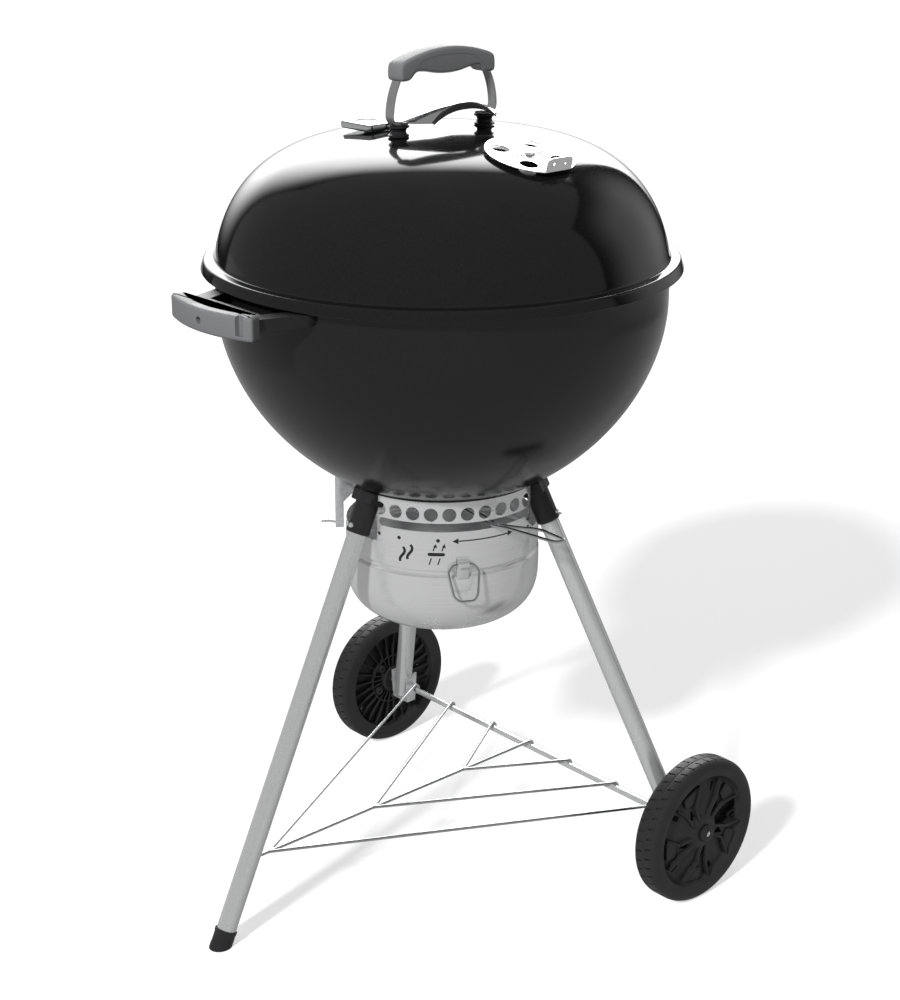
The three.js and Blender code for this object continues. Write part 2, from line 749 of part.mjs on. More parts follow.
// ---------------------------------------------------------------- side handle
// Drawn pointing to +X, then turned round to stand over the front leg.
const barTop = rimHeight + sideBarTop;
const barMiddle = barTop - sideBarHeight / 2;

function barArc(reach, half, steps = 8) {
  const points = [];
  for (let i = 0; i <= steps; i += 1) {
    const share = 2 * i / steps - 1;
    points.push(new THREE.Vector2(reach - sideBarBow * share ** 2, share * half));
  }
  return points;
}

const overFrontLeg = new THREE.Matrix4().makeRotationZ(Math.PI);

const armTipX = rimRadius + sideBarReach - sideBarBow - sideBarDepth + 10;
const armSeatX = Math.sqrt(bowlRadius ** 2 - sideArmSpread ** 2);

function makeSideGrip() {
  const reach = rimRadius + sideBarReach;
  const half = sideBarLength / 2;
  const front = barArc(reach, half);
  const back = barArc(reach - sideBarDepth, half - 8).reverse();
  const bar = slab(new THREE.Shape([...front, ...back]), barTop - sideBarHeight, barTop, overFrontLeg);
  const armPockets = [-1, 1].map((end) => block(
    [24, sideArmThickness + 2 * gap, sideArmHeight + 2 * gap],
    [armTipX - 12 + gap, end * (half - 16), barMiddle], overFrontLeg));
  const screw = rod(
    new THREE.Vector3(-reach - 5, 0, barMiddle),
    new THREE.Vector3(40 - reach, 0, barMiddle), screwRadius + gap, 12);
  return cut(bar, ...armPockets, screw);
}

function makeSideBracket() {
  const half = sideBarLength / 2 - 16;
  const shape = new THREE.Shape();
  const inner = half - sideArmThickness / 2;
  const outer = half + sideArmThickness / 2;
  const straight = armTipX - 14;
  const cross = armTipX - 22;
  shape.moveTo(armSeatX - 20, -sideArmSpread);
  shape.lineTo(armSeatX + 12, -sideArmSpread);
  shape.lineTo(straight, -outer);
  shape.lineTo(armTipX, -outer);
  shape.lineTo(armTipX, -inner);
  shape.lineTo(straight, -inner);
  shape.lineTo(cross, -inner + 6);
  shape.lineTo(cross, inner - 6);
  shape.lineTo(straight, inner);
  shape.lineTo(armTipX, inner);
  shape.lineTo(armTipX, outer);
  shape.lineTo(straight, outer);
  shape.lineTo(armSeatX + 12, sideArmSpread);
  shape.lineTo(armSeatX - 20, sideArmSpread);
  shape.lineTo(armSeatX - 20, sideArmSpread - sideArmThickness);
  shape.lineTo(cross - 6, inner - 8);
  shape.lineTo(cross - 6, 8 - inner);
  shape.lineTo(armSeatX - 20, sideArmThickness - sideArmSpread);
  const frame = slab(
    shape, barMiddle - sideArmHeight / 2, barMiddle + sideArmHeight / 2, overFrontLeg);
  const screw = rod(
    new THREE.Vector3(-cross - 20, 0, barMiddle),
    new THREE.Vector3(20 - cross, 0, barMiddle), screwRadius + gap, 12);
  return cut(frame, bowlSpace, screw);
}

function makeSideShield() {
  const low = barMiddle - sideArmHeight / 2 - gap - sideShieldSheet;
  const shape = new THREE.Shape();
  shape.moveTo(armSeatX - 14, -sideArmSpread + 4);
  shape.lineTo(armTipX - 24, 10 - sideBarLength / 2 + 16);
  shape.lineTo(armTipX - 24, sideBarLength / 2 - 26);
  shape.lineTo(armSeatX - 14, sideArmSpread - 4);
  return cut(slab(shape, low, low + sideShieldSheet, overFrontLeg), bowlSpace);
}

function makeSideScrew() {
  const reach = rimRadius + sideBarReach;
  const turn = new THREE.Matrix4().makeRotationY(-Math.PI / 2);
  const place = new THREE.Matrix4().makeTranslation(0, 0, barMiddle).multiply(turn);
  const head = reach - sideBarDepth - 22;
  return turned([
    [0, head], [screwHeadRadius, head], [screwHeadRadius, head + screwHeadHeight],
    [screwRadius, head + screwHeadHeight], [screwRadius, reach - 5], [0, reach - 5],
  ], 12, place);
}

// ---------------------------------------------------------------- legs
const axleHeight = wheelRadius;
const legs = {
  front: { azimuth: 180, foot: new THREE.Vector3(-frontFootRadius, 0, 0) },
  right: { azimuth: -60, foot: new THREE.Vector3(axleFromKettle, -axleLegSpread, axleHeight) },
  left: { azimuth: 60, foot: new THREE.Vector3(axleFromKettle, axleLegSpread, axleHeight) },
};

for (const leg of Object.values(legs)) {
  const knee = polar(legTopRadius, leg.azimuth, legTopHeight);
  leg.up = knee.clone().sub(leg.foot).normalize();
  leg.at = (height) => leg.foot.clone().addScaledVector(leg.up, (height - leg.foot.z) / leg.up.z);
  leg.top = leg.at(legInsertHeight);
  leg.outward = polar(1, leg.azimuth);
  leg.side = leg.up.clone().cross(leg.outward).normalize();
  leg.face = leg.side.clone().cross(leg.up).normalize();
}

const legRadius = legDiameter / 2;
const buttonBelowTop = 38;

function buttonPlace(leg) {
  return leg.top.clone().addScaledVector(leg.up, -buttonBelowTop);
}

function buttonHole(leg) {
  const start = buttonPlace(leg);
  return rod(start, start.clone().addScaledVector(leg.face, 40), buttonRadius + gap, 12);
}

function makeLeg(name) {
  const leg = legs[name];
  const low = name === 'front'
    ? leg.at(-20)
    : leg.foot.clone().addScaledVector(leg.up, -legEndBelowAxle);
  const tube = cut(
    rod(low, leg.top, legRadius, tubeSides),
    rod(low.clone().addScaledVector(leg.up, -5), leg.top.clone().addScaledVector(leg.up, 5),
      legRadius - legWall, tubeSides),
    buttonHole(leg));
  if (name === 'front') {
    const floor = footCapWall + 2 + gap;
    return cut(tube, block([200, 200, 100], [leg.foot.x, 0, floor - 50]));
  }
  return cut(tube, rod(
    leg.foot.clone().add(new THREE.Vector3(0, -40, 0)),
    leg.foot.clone().add(new THREE.Vector3(0, 40, 0)), axleRadius + gap, 12));
}

function makeFootCap() {
  const leg = legs.front;
  const high = leg.foot.clone().addScaledVector(leg.up, footCapLength + 6);
  const outer = rod(leg.at(-30), high, legRadius + footCapWall, tubeSides);
  const bore = cut(
    rod(leg.at(-30), high.clone().addScaledVector(leg.up, 10), legRadius + gap, tubeSides),
    block([300, 300, 100], [leg.foot.x, 0, footCapWall + 2 - 50]));
  return cut(outer, bore, block([300, 300, 100], [leg.foot.x, 0, -50]));
}

const socketRadius = legRadius + socketWall;

function makeSocket(leg) {
  const low = leg.top.clone().addScaledVector(leg.up, -socketLength);
  const high = leg.top.clone().addScaledVector(leg.up, 30);
  const sleeve = rod(low, high, socketRadius, tubeSides);
  const seat = leg.top.clone().addScaledVector(leg.up, 2);
  const padFrame = frameAt(seat, leg.up, leg.side);
  const pad = block([socketPadWidth, 2 * socketRadius, 16], [0, 0, 0], padFrame);
  const bore = rod(
    low.clone().addScaledVector(leg.up, -5), leg.top.clone().addScaledVector(leg.up, gap), legRadius + gap, tubeSides);
  return cut(join(sleeve, pad), bowlSpace, bore, buttonHole(leg));
}

function makeButton(leg) {
  const start = buttonPlace(leg);
  return rod(
    start.clone().addScaledVector(leg.face, buttonTravel + 1),
    start.clone().addScaledVector(leg.face, socketRadius + 1.6), buttonRadius, 12);
}

// ---------------------------------------------------------------- wheels and axle
const wheelInner = axleLegSpread + wheelFromLeg;
const wheelOuter = wheelInner + wheelWidth;

function onAxle(y) {
  return new THREE.Vector3(axleFromKettle, y, axleHeight);
}

function wheelPlace(side) {
  return new THREE.Matrix4().makeTranslation(axleFromKettle, 0, axleHeight)
    .multiply(new THREE.Matrix4().makeRotationX(-side * Math.PI / 2));
}

function makeWheel(side) {
  const place = wheelPlace(side);
  const bandInner = wheelRadius - wheelBandDepth;
  const middle = (wheelInner + wheelOuter) / 2;
  const bore = axleRadius + gap;
  const body = turned(closeLoop([
    [bore, wheelInner + 4], [wheelHubRadius, wheelInner + 4], [wheelHubRadius, middle - 2],
    [bandInner, middle - 2], [bandInner, wheelInner + 3], [wheelRadius - 8, wheelInner],
    [wheelRadius - 2, wheelInner + 3], [wheelRadius, wheelInner + 8], [wheelRadius, wheelOuter - 8],
    [wheelRadius - 2, wheelOuter - 3], [wheelRadius - 8, wheelOuter], [bandInner, wheelOuter - 4],
    [bandInner, middle + 3], [wheelHubRadius, middle + 3], [wheelHubRadius, wheelOuter - gap],
    [bore, wheelOuter - gap],
  ]), 28, place);
  const windows = [];
  for (let i = 0; i < wheelSpokes; i += 1) {
    const angle = fullTurn * (i + 0.5) / wheelSpokes;
    const corner = (radius, turn) => new THREE.Vector2(
      radius * Math.cos(angle + turn), radius * Math.sin(angle + turn));
    const shape = new THREE.Shape([
      corner(wheelHubRadius + 6, 0), corner(bandInner - 8, -0.42), corner(bandInner - 5, 0),
      corner(bandInner - 8, 0.42)]);
    windows.push(slab(shape, middle - 8, middle + 8, place));
  }
  return cut(body, ...windows);
}

function makeHubCap(side) {
  const low = wheelOuter + gap;
  return turned(closeLoop([
    [axleRadius + gap, low], [hubCapRadius, low], [hubCapRadius - 1, low + hubCapHeight - 1.5],
    [hubCapRadius - 3, low + hubCapHeight], [axleRadius + gap, low + hubCapHeight],
  ]), 14, wheelPlace(side));
}

function makeAxle() {
  const end = wheelOuter + gap + hubCapHeight - 1;
  return rod(onAxle(-end), onAxle(end), axleRadius, 12);
}

function makeLegPlates(leg) {
  const sign = Math.sign(leg.foot.y);
  const inside = Math.abs(leg.foot.y) - legRadius / leg.up.z - 5;
  const outside = Math.abs(leg.foot.y) + legRadius - 0.5;
  const shape = new THREE.Shape();
  shape.moveTo(-9, -15);
  shape.lineTo(9, -15);
  shape.lineTo(11, 22);
  shape.lineTo(-11, 22);
  const plate = (low) => {
    const geometry = new THREE.ExtrudeGeometry(shape, { depth: legPlateSheet, bevelEnabled: false });
    geometry.rotateX(Math.PI / 2);
    geometry.translate(axleFromKettle, sign * (low + legPlateSheet / 2) + legPlateSheet / 2, axleHeight);
    return toSolid(geometry);
  };
  const bridge = block(
    [16, outside - inside + legPlateSheet, legPlateSheet],
    [axleFromKettle, sign * (inside + outside + legPlateSheet) / 2, axleHeight - 22]);
  const drop = (low) => block([16, legPlateSheet, 9], [axleFromKettle, sign * (low + legPlateSheet / 2), axleHeight - 18.5]);
  const hole = rod(onAxle(sign * (inside - 10)), onAxle(sign * (outside + 12)), axleRadius + gap, 12);
  const clear = rod(
    leg.foot.clone().addScaledVector(leg.up, -legEndBelowAxle - gap),
    leg.foot.clone().addScaledVector(leg.up, 60), legRadius + gap, tubeSides);
  return cut(join(plate(inside), plate(outside), bridge, drop(inside), drop(outside)), hole, clear);
}

// ---------------------------------------------------------------- shelf
function makeShelf() {
  const height = axleHeight + axleRadius + gap + shelfWire;
  const wrap = axleRadius + gap + shelfWire;
  const hook = (y) => [0, 30, 60, 90, 120, 150].map((turn) => new THREE.Vector3(
    axleFromKettle + wrap * Math.sin(degToRad(turn)), y, axleHeight + wrap * Math.cos(degToRad(turn))));
  const leg = legs.front.at(height);
  const front = new THREE.Vector3(leg.x + legRadius / legs.front.up.z + gap + shelfWire * 2, 0, height);
  let shelf = wire([front, ...hook(0)], shelfWire);
  shelfTips.forEach((tip, i) => {
    for (const side of [-1, 1]) {
      shelf = shelf.add(wire(
        [new THREE.Vector3(tip, 0, height), ...hook(side * shelfArms[i])], shelfWire));
    }
  });
  return shelf;
}

// ---------------------------------------------------------------- ash catcher
const bandInnerRadius = catcherRadius - catcherSheet;
const bandFrom = catcherAzimuth - catcherSpan / 2;
const bandTo = catcherAzimuth + catcherSpan / 2;

function throughBand(azimuth, height, radius, sides = 8) {
  return rod(polar(catcherRadius - 12, azimuth, height), polar(catcherRadius + 12, azimuth, height), radius, sides);
}

function makeCatcherRing() {
  const flangeShape = new THREE.Shape().absarc(0, 0, catcherRadius, 0, fullTurn);
  flangeShape.holes.push(new THREE.Path().absarc(0, 0, catcherRadius - flangeWidth, 0, fullTurn));
  const flange = slab(flangeShape, catcherTop - catcherSheet, catcherTop, undefined, 14);
  const band = slab(
    arcStrip(bandInnerRadius, catcherRadius, bandFrom, bandTo), catcherBottom, catcherTop, undefined, 10);
  const holes = [];
  for (let i = 0; i < airHoleCount; i += 1) {
    const azimuth = catcherAzimuth - 1.5 + airHolePitch * (i - (airHoleCount - 1) / 2);
    holes.push(throughBand(azimuth, airHoleHeight, airHoleRadius));
    const above = polar(catcherRadius - 17, azimuth);
    holes.push(rod(above.clone().setZ(catcherTop - 6), above.clone().setZ(catcherTop + 6), 6.2, 6));
  }
  const slot = slab(
    arcStrip(catcherRadius - 8, catcherRadius + 8, catcherAzimuth - leverSlotSpan / 2,
      catcherAzimuth + leverSlotSpan / 2),
    leverSlotHeight - leverSlotWidth / 2, leverSlotHeight + leverSlotWidth / 2, undefined, 10);
  const clipNotch = block(
    [30, bailClipWidth + 8, 40], [catcherRadius, 0, bailHeight + 8 - 20],
    new THREE.Matrix4().makeRotationZ(degToRad(catcherAzimuth + 1)));
  const socketNotches = Object.values(legs).map((leg) => {
    const from = leg.at(catcherTop - 40);
    return rod(from, leg.at(catcherTop + 40), socketRadius + 2, tubeSides);
  });
  const padNotches = Object.values(legs).map((leg) => block(
    [socketPadWidth + 4, 2 * socketRadius + 4, 22], [0, 0, 0],
    frameAt(leg.top.clone().addScaledVector(leg.up, 2), leg.up, leg.side)));
  const shaftRoom = rod(
    new THREE.Vector3(0, 0, catcherTop - 10), new THREE.Vector3(0, 0, catcherTop + 10), shaftRadius + 8, 16);
  return cut(join(flange, band), bowlSpace, ...holes, slot, clipNotch, ...socketNotches, ...padNotches,
    shaftRoom);
}

function makeCatcherBracket(azimuth) {
  const shape = new THREE.Shape();
  const [inner, outer] = [catcherRadius + 1, catcherRadius + 12];
  const foot = catcherTop - 75;
  shape.moveTo(inner, foot);
  shape.lineTo(outer, foot);
  shape.lineTo(outer, catcherTop - 8);
  shape.quadraticCurveTo(outer, catcherTop - gap - catcherSheet, outer - 7, catcherTop - gap - catcherSheet);
  shape.lineTo(catcherRadius - 26, catcherTop - gap - catcherSheet);
  shape.lineTo(catcherRadius - 26, catcherTop - 14);
  shape.lineTo(inner, catcherTop - 40);
  const geometry = new THREE.ExtrudeGeometry(shape, { depth: 1.6, bevelEnabled: false, curveSegments: 4 });
  geometry.rotateX(Math.PI / 2);
  geometry.rotateZ(degToRad(azimuth));
  return toSolid(geometry);
}

function makeBucket() {
  const wallAt = (height, wall) => {
    const share = Math.max(bucketShoulder - height, 0) / (bucketShoulder - bucketBottom - wall);
    return (bucketRadius - wall) * (1 - Math.min(share, 1) ** bucketPower) ** (1 / bucketPower);
  };
  const side = (wall) => {
    const depth = bucketShoulder - bucketBottom - wall;
    const points = [];
    for (let i = 0; i <= 6; i += 1) {
      const height = bucketShoulder - depth * Math.cos(Math.PI / 2 * i / 6);
      points.push([wallAt(height, wall), height]);
    }
    return points;
  };
  const behindBand = bandInnerRadius - gap;
  return turned([
    ...side(0),
    [bucketRadius, catcherBottom - 2], [behindBand, catcherBottom - 1], [behindBand, bucketTop],
    [behindBand - bucketWall, bucketTop], [behindBand - bucketWall, catcherBottom - 1],
    ...side(bucketWall).reverse(),
  ]);
}

const bailAzimuth = catcherAzimuth + 1;
const bailPivotRadius = catcherRadius + 3.2;
const bailFrame = frameAt(
  polar(bailPivotRadius, bailAzimuth, bailHeight), new THREE.Vector3(0, 0, 1), polar(1, bailAzimuth));

function makeBailClip() {
  const loop = strip([
    new THREE.Vector2(-3, -20), new THREE.Vector2(-3, 1.5), new THREE.Vector2(-1.6, 3.6),
    new THREE.Vector2(1.2, 3.6), new THREE.Vector2(3.4, 1.2), new THREE.Vector2(3.4, -3),
  ], 1.2);
  const geometry = new THREE.ExtrudeGeometry(loop, { depth: bailClipWidth, bevelEnabled: false });
  geometry.rotateX(Math.PI / 2);
  geometry.translate(0, bailClipWidth / 2, 0);
  return toSolid(geometry.applyMatrix4(bailFrame));
}

function makeBail() {
  const half = bailWidth / 2;
  const lean = degToRad(bailLean);
  const place = (across, drop) => new THREE.Vector3(
    drop * Math.sin(lean), across, -drop * Math.cos(lean)).applyMatrix4(bailFrame);
  const start = bailClipWidth / 2 - 3;
  const corners = [
    place(start, 0), place(half, 0), place(half + 6, 9), place(half, bailDrop - 5), place(half - 6, bailDrop),
    place(6 - half, bailDrop), place(-half, bailDrop - 5), place(-half - 6, 9), place(-half, 0),
    place(-start, 0),
  ];
  return wire(rounded(corners, 3, 3), bailWire);
}

// ---------------------------------------------------------------- put together
add('bowl_shell', makeBowl(), enamel);
add('lid_shell', makeLid(), enamel);
add('lid_damper', makeDamper(), aluminium);
add('damper_rivet', makeDamperRivet(), steel);
add('lid_handle_grip', makeLidGrip(), nylon);
add('lid_heat_shield', makeHeatShield(), polished);
add('thermometer_bezel', makeBezel(), polished);
add('thermometer_gauge', makeGauge(), glass);
add('lid_hook', makeLidHook(), wireSteel);

for (const [name, side] of [['front', -1], ['rear', 1]]) {
  add(`lid_handle_strap_${name}`, makeStrap(side), steel);
  add(`lid_handle_spacer_${name}`, makeSpacer(side), blackPlastic);
  add(`lid_handle_screw_${name}`, makeHandleScrew(side), steel);
}
add('side_handle_grip', makeSideGrip(), nylon);
add('side_handle_bracket', makeSideBracket(), blackPlastic);
add('side_handle_shield', makeSideShield(), darkSteel);
add('side_handle_screw', makeSideScrew(), steel);

for (let i = 0; i < tabCount; i += 1) {
  add(`grate_tab_${i + 1}`, makeGrateTab(30 + 360 * i / tabCount), steel);
}
add('cooking_grate',
  makeGrate(bowlRadius - cookingGrateRoom, rimHeight - cookingGrateDepth, cookingWire, cookingPitch), wireSteel);
const charcoalGrateHeight = bowlFloor + charcoalGrateRise;
const charcoalGrateRadius = bowlRadiusAt(charcoalGrateHeight, sheet) - charcoalGrateRoom;
add('charcoal_grate',
  makeGrate(charcoalGrateRadius, charcoalGrateHeight, charcoalWire, charcoalPitch), darkSteel);
add('cleaning_blades', makeBlades(), steel);
add('cleaning_shaft', makeShaft(), steel);
add('cleaning_lever', makeLever(), wireSteel);

for (const [name, leg] of Object.entries(legs)) {
  add(`leg_${name}`, makeLeg(name), steel);
  add(`leg_socket_${name}`, makeSocket(leg), blackPlastic);
  add(`leg_button_${name}`, makeButton(leg), steel);
}
add('foot_cap', makeFootCap(), blackPlastic);

for (const [name, side] of [['right', -1], ['left', 1]]) {
  add(`leg_end_plates_${name}`, makeLegPlates(legs[name]), steel);
  add(`wheel_${name}`, makeWheel(side), tyrePlastic);
  add(`hub_cap_${name}`, makeHubCap(side), blackPlastic);
}
add('axle', makeAxle(), steel);
add('wire_shelf', makeShelf(), wireSteel);

add('ash_catcher_ring', makeCatcherRing(), aluminium);
add('catcher_bracket_front', makeCatcherBracket(catcherAzimuth - 94), aluminium);
add('catcher_bracket_rear', makeCatcherBracket(catcherAzimuth + 94), aluminium);
add('ash_bucket', makeBucket(), aluminium);
add('bucket_bail', makeBail(), wireSteel);
add('bail_clip', makeBailClip(), steel);

// The finished grill stands on the floor with the middle of its box at the origin.
const box = new THREE.Box3().setFromObject(grill);
grill.position.x = -(box.min.x + box.max.x) / 2;

export default grill;
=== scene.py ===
"""Kettle charcoal grill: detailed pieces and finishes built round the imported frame.

Lengths in the shape functions are millimetres from the kettle's axis (x, y) and from the floor (z).
"""

import math

import bpy
from mathutils import Matrix, Vector


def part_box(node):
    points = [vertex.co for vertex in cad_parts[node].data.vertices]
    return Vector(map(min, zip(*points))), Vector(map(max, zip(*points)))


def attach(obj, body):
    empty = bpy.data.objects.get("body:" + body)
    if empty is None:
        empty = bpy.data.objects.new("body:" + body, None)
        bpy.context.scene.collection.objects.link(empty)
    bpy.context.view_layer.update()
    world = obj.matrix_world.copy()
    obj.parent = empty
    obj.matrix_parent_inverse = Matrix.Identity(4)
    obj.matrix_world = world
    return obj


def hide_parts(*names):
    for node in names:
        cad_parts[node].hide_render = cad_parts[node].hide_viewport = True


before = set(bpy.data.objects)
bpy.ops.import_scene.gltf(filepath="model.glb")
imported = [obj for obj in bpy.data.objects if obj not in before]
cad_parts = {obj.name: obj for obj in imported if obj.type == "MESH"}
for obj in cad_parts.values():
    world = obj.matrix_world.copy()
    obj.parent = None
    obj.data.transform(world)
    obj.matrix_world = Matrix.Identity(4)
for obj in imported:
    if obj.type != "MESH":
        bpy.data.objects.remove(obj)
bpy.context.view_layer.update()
bpy.ops.object.select_all(action="DESELECT")

MM = 0.001
FULL_TURN = 2 * math.pi
UP = Vector((0, 0, 1))
shaft_low, shaft_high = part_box("cleaning_shaft")
AXIS = Vector(((shaft_low.x + shaft_high.x) / 2, 0, 0))


# ---------------------------------------------------------------- places
def spot(x, y, z):
    """A place in millimetres from the kettle's axis, as metres in the frame."""
    return AXIS + Vector((x, y, z)) * MM


def polar(radius, azimuth, z=0.0):
    """A point at an azimuth in degrees round the kettle's axis, in millimetres."""
    angle = math.radians(azimuth)
    return Vector((radius * math.cos(angle), radius * math.sin(angle), z))


def stand(origin, direction, across):
    """A matrix at a place, its Z along a direction and its X as near as can be to another."""
    z = Vector(direction).normalized()
    x = (Vector(across) - z * Vector(across).dot(z)).normalized()
    y = z.cross(x)
    turn = Matrix((x, y, z)).transposed().to_4x4()
    return Matrix.Translation(AXIS + Vector(origin) * MM) @ turn


def radial(azimuth, z, radius=0.0):
    """A matrix whose Z points out from the kettle, X along its wall and Y up."""
    out = polar(1, azimuth)
    return stand(out * radius + UP * z, out, Vector((-out.y, out.x, 0)))


KETTLE = Matrix.Translation(AXIS)
KETTLE_SIDE = KETTLE @ Matrix.Rotation(math.radians(90), 4, "X")   # drawn in x and z, thickness to -y


# ---------------------------------------------------------------- outlines, in millimetres
def arc(radius, start, end, steps, centre=(0, 0)):
    points = []
    for i in range(steps + 1):
        angle = math.radians(start + (end - start) * i / steps)
        points.append((centre[0] + radius * math.cos(angle), centre[1] + radius * math.sin(angle)))
    return points


def rounded(corners, radius, steps=5, closed=True):
    """Corners (any dimension) with each one rounded to about a radius."""
    corners = [Vector(c) for c in corners]
    points = []
    count = len(corners)
    for i, corner in enumerate(corners):
        if not closed and i in (0, count - 1):
            points.append(corner)
            continue
        back = corners[i - 1] - corner
        ahead = corners[(i + 1) % count] - corner
        reach = min(radius, back.length * 0.48, ahead.length * 0.48)
        first = corner + back.normalized() * reach
        last = corner + ahead.normalized() * reach
        for step in range(steps + 1):
            t = step / steps
            points.append(first * (1 - t) ** 2 + corner * (2 * t * (1 - t)) + last * t ** 2)
    return points


def slot_outline(length, width, steps=8, lean=0.0):
    """A rounded slot about the origin, its length along x turned by a lean in degrees."""
    half = (length - width) / 2
    points = arc(width / 2, -90, 90, steps, (half, 0)) + arc(width / 2, 90, 270, steps, (-half, 0))
    turn = math.radians(lean)
    return [(x * math.cos(turn) - y * math.sin(turn), x * math.sin(turn) + y * math.cos(turn))
            for x, y in points]


# ---------------------------------------------------------------- modelling steps
def only(piece):
    """Makes one piece the only one selected."""
    if bpy.context.mode != "OBJECT":
        bpy.ops.object.mode_set(mode="OBJECT")
    bpy.ops.object.select_all(action="DESELECT")
    piece.select_set(True)
    bpy.context.view_layer.objects.active = piece
    return piece


def put(piece, place):
    """Sets a piece down at a place, with its own origin back at the frame's."""
    only(piece)
    piece.matrix_world = place @ piece.matrix_world
    bpy.ops.object.transform_apply(location=True, rotation=True, scale=True)
    return piece


def chain(points, closed=False):
    """A new mesh with an edge from each point to the next, all of it selected in edit mode."""
    if bpy.context.mode != "OBJECT":
        bpy.ops.object.mode_set(mode="OBJECT")
    bpy.ops.object.select_all(action="DESELECT")
    bpy.ops.mesh.primitive_circle_add(vertices=3, radius=MM, location=(0, 0, 0))
    bpy.ops.object.mode_set(mode="EDIT")
    bpy.ops.mesh.select_mode(type="VERT")
    bpy.ops.mesh.select_all(action="SELECT")
    bpy.ops.mesh.merge(type="CENTER")
    steps = [Vector(p).to_3d() * MM for p in points]
    if closed:
        steps.append(steps[0])
    bpy.ops.transform.translate(value=steps[0])
    for before, after in zip(steps, steps[1:]):
        bpy.ops.mesh.extrude_region_move(TRANSFORM_OT_translate={"value": after - before})
    bpy.ops.mesh.select_all(action="SELECT")
    if closed:
        bpy.ops.mesh.remove_doubles(threshold=4e-6)
    return bpy.context.object


def turned(profile, place=KETTLE, steps=128, closed=False):
    """A profile of (radius, height) turned about a place's Z axis."""
    piece = chain([(radius, 0, height) for radius, height in profile], closed)
    bpy.ops.mesh.spin(steps=steps, angle=FULL_TURN, center=(0, 0, 0), axis=(0, 0, 1))
    bpy.ops.mesh.select_all(action="SELECT")
    bpy.ops.mesh.remove_doubles(threshold=4e-6)
    bpy.ops.mesh.normals_make_consistent(inside=False)
    return put(piece, place)


def plate(outline, thickness, place, low=0.0):
    """A flat outline in a place's X-Y plane, given thickness along its Z."""
    piece = chain([(p[0], p[1], low) for p in outline], closed=True)
    bpy.ops.mesh.edge_face_add()
    bpy.ops.mesh.extrude_region_move(TRANSFORM_OT_translate={"value": (0, 0, thickness * MM)})
    bpy.ops.mesh.select_all(action="SELECT")
    bpy.ops.mesh.normals_make_consistent(inside=False)
    return put(piece, place)


def pick_faces(piece, wanted):
    """Selects the faces whose middle and normal pass a test, in edit mode."""
    only(piece)
    mesh = piece.data
    for group in (mesh.vertices, mesh.edges):
        for part in group:
            part.select = False
    for face in mesh.polygons:
        face.select = wanted(face.center, face.normal)
    bpy.ops.object.mode_set(mode="EDIT")
    bpy.ops.mesh.select_mode(type="FACE")


def crown(piece, direction, radius, steps=4):
    """Rounds the edge round the flat faces that look along a direction, building outwards."""
    aim = Vector(direction).normalized()
    pick_faces(piece, lambda middle, normal: normal.dot(aim) > 0.999)
    for step in range(steps):
        a, b = (math.pi / 2 * step / steps, math.pi / 2 * (step + 1) / steps)
        bpy.ops.mesh.inset(
            thickness=radius * MM * (math.cos(a) - math.cos(b)),
            depth=radius * MM * (math.sin(b) - math.sin(a)), use_boundary=True, use_even_offset=False)
    return piece


def cushion(outline, thickness, radius, place, steps=4):
    """A plate with both of its flat sides rounded over at their edges."""
    piece = plate(outline, thickness - 2 * radius, place, low=radius)
    aim = place.to_3x3() @ UP
    crown(piece, aim, radius, steps)
    crown(piece, -aim, radius, steps)
    bpy.ops.object.mode_set(mode="OBJECT")
    return piece


def softened(piece, width, segments=2, angle=30):
    only(piece)
    bevel = piece.modifiers.new("soft edges", "BEVEL")
    bevel.width = width * MM
    bevel.segments = segments
    bevel.limit_method = "ANGLE"
    bevel.angle_limit = math.radians(angle)
    bevel.use_clamp_overlap = True
    bpy.ops.object.modifier_apply(modifier=bevel.name)
    return piece


def together(pieces):
    """Several pieces as one mesh."""
    only(pieces[0])
    for piece in pieces:
        piece.select_set(True)
    bpy.ops.object.join()
    return bpy.context.object


def combined(piece, tool, operation):
    only(piece)
    step = piece.modifiers.new("combine", "BOOLEAN")
    step.operation = operation
    step.object = tool
    step.solver = "EXACT"
    bpy.ops.object.modifier_apply(modifier=step.name)
    bpy.data.objects.remove(tool)
    return piece


def carved(piece, tools):
    return combined(piece, together(tools) if len(tools) > 1 else tools[0], "DIFFERENCE")


def wire(points, radius, closed=False, sides=4):
    """A round wire through points in millimetres from the kettle's axis."""
    piece = chain(points, closed)
    only(piece)
    bpy.ops.object.convert(target="CURVE")
    curve = bpy.context.object.data
    curve.bevel_depth = radius * MM
    curve.bevel_resolution = sides
    curve.use_fill_caps = not closed
    bpy.ops.object.convert(target="MESH")
    piece = bpy.context.object
    bpy.ops.object.mode_set(mode="EDIT")
    bpy.ops.mesh.select_all(action="SELECT")
    bpy.ops.mesh.normals_make_consistent(inside=False)
    return put(piece, KETTLE)


def rod(start, end, radius, sides=48):
    start, end = Vector(start), Vector(end)
    along = end - start
    across = Vector((1, 0, 0)) if abs(along.normalized().x) < 0.9 else Vector((0, 1, 0))
    bpy.ops.object.select_all(action="DESELECT")
    bpy.ops.mesh.primitive_cylinder_add(
        vertices=sides, radius=radius * MM, depth=along.length * MM, location=(0, 0, 0))
    return put(bpy.context.object, stand((start + end) / 2, along, across))


def box(size, place):
    bpy.ops.object.select_all(action="DESELECT")
    bpy.ops.mesh.primitive_cube_add(size=1, location=(0, 0, 0))
    bpy.context.object.scale = Vector(size) * MM
    return put(bpy.context.object, place)


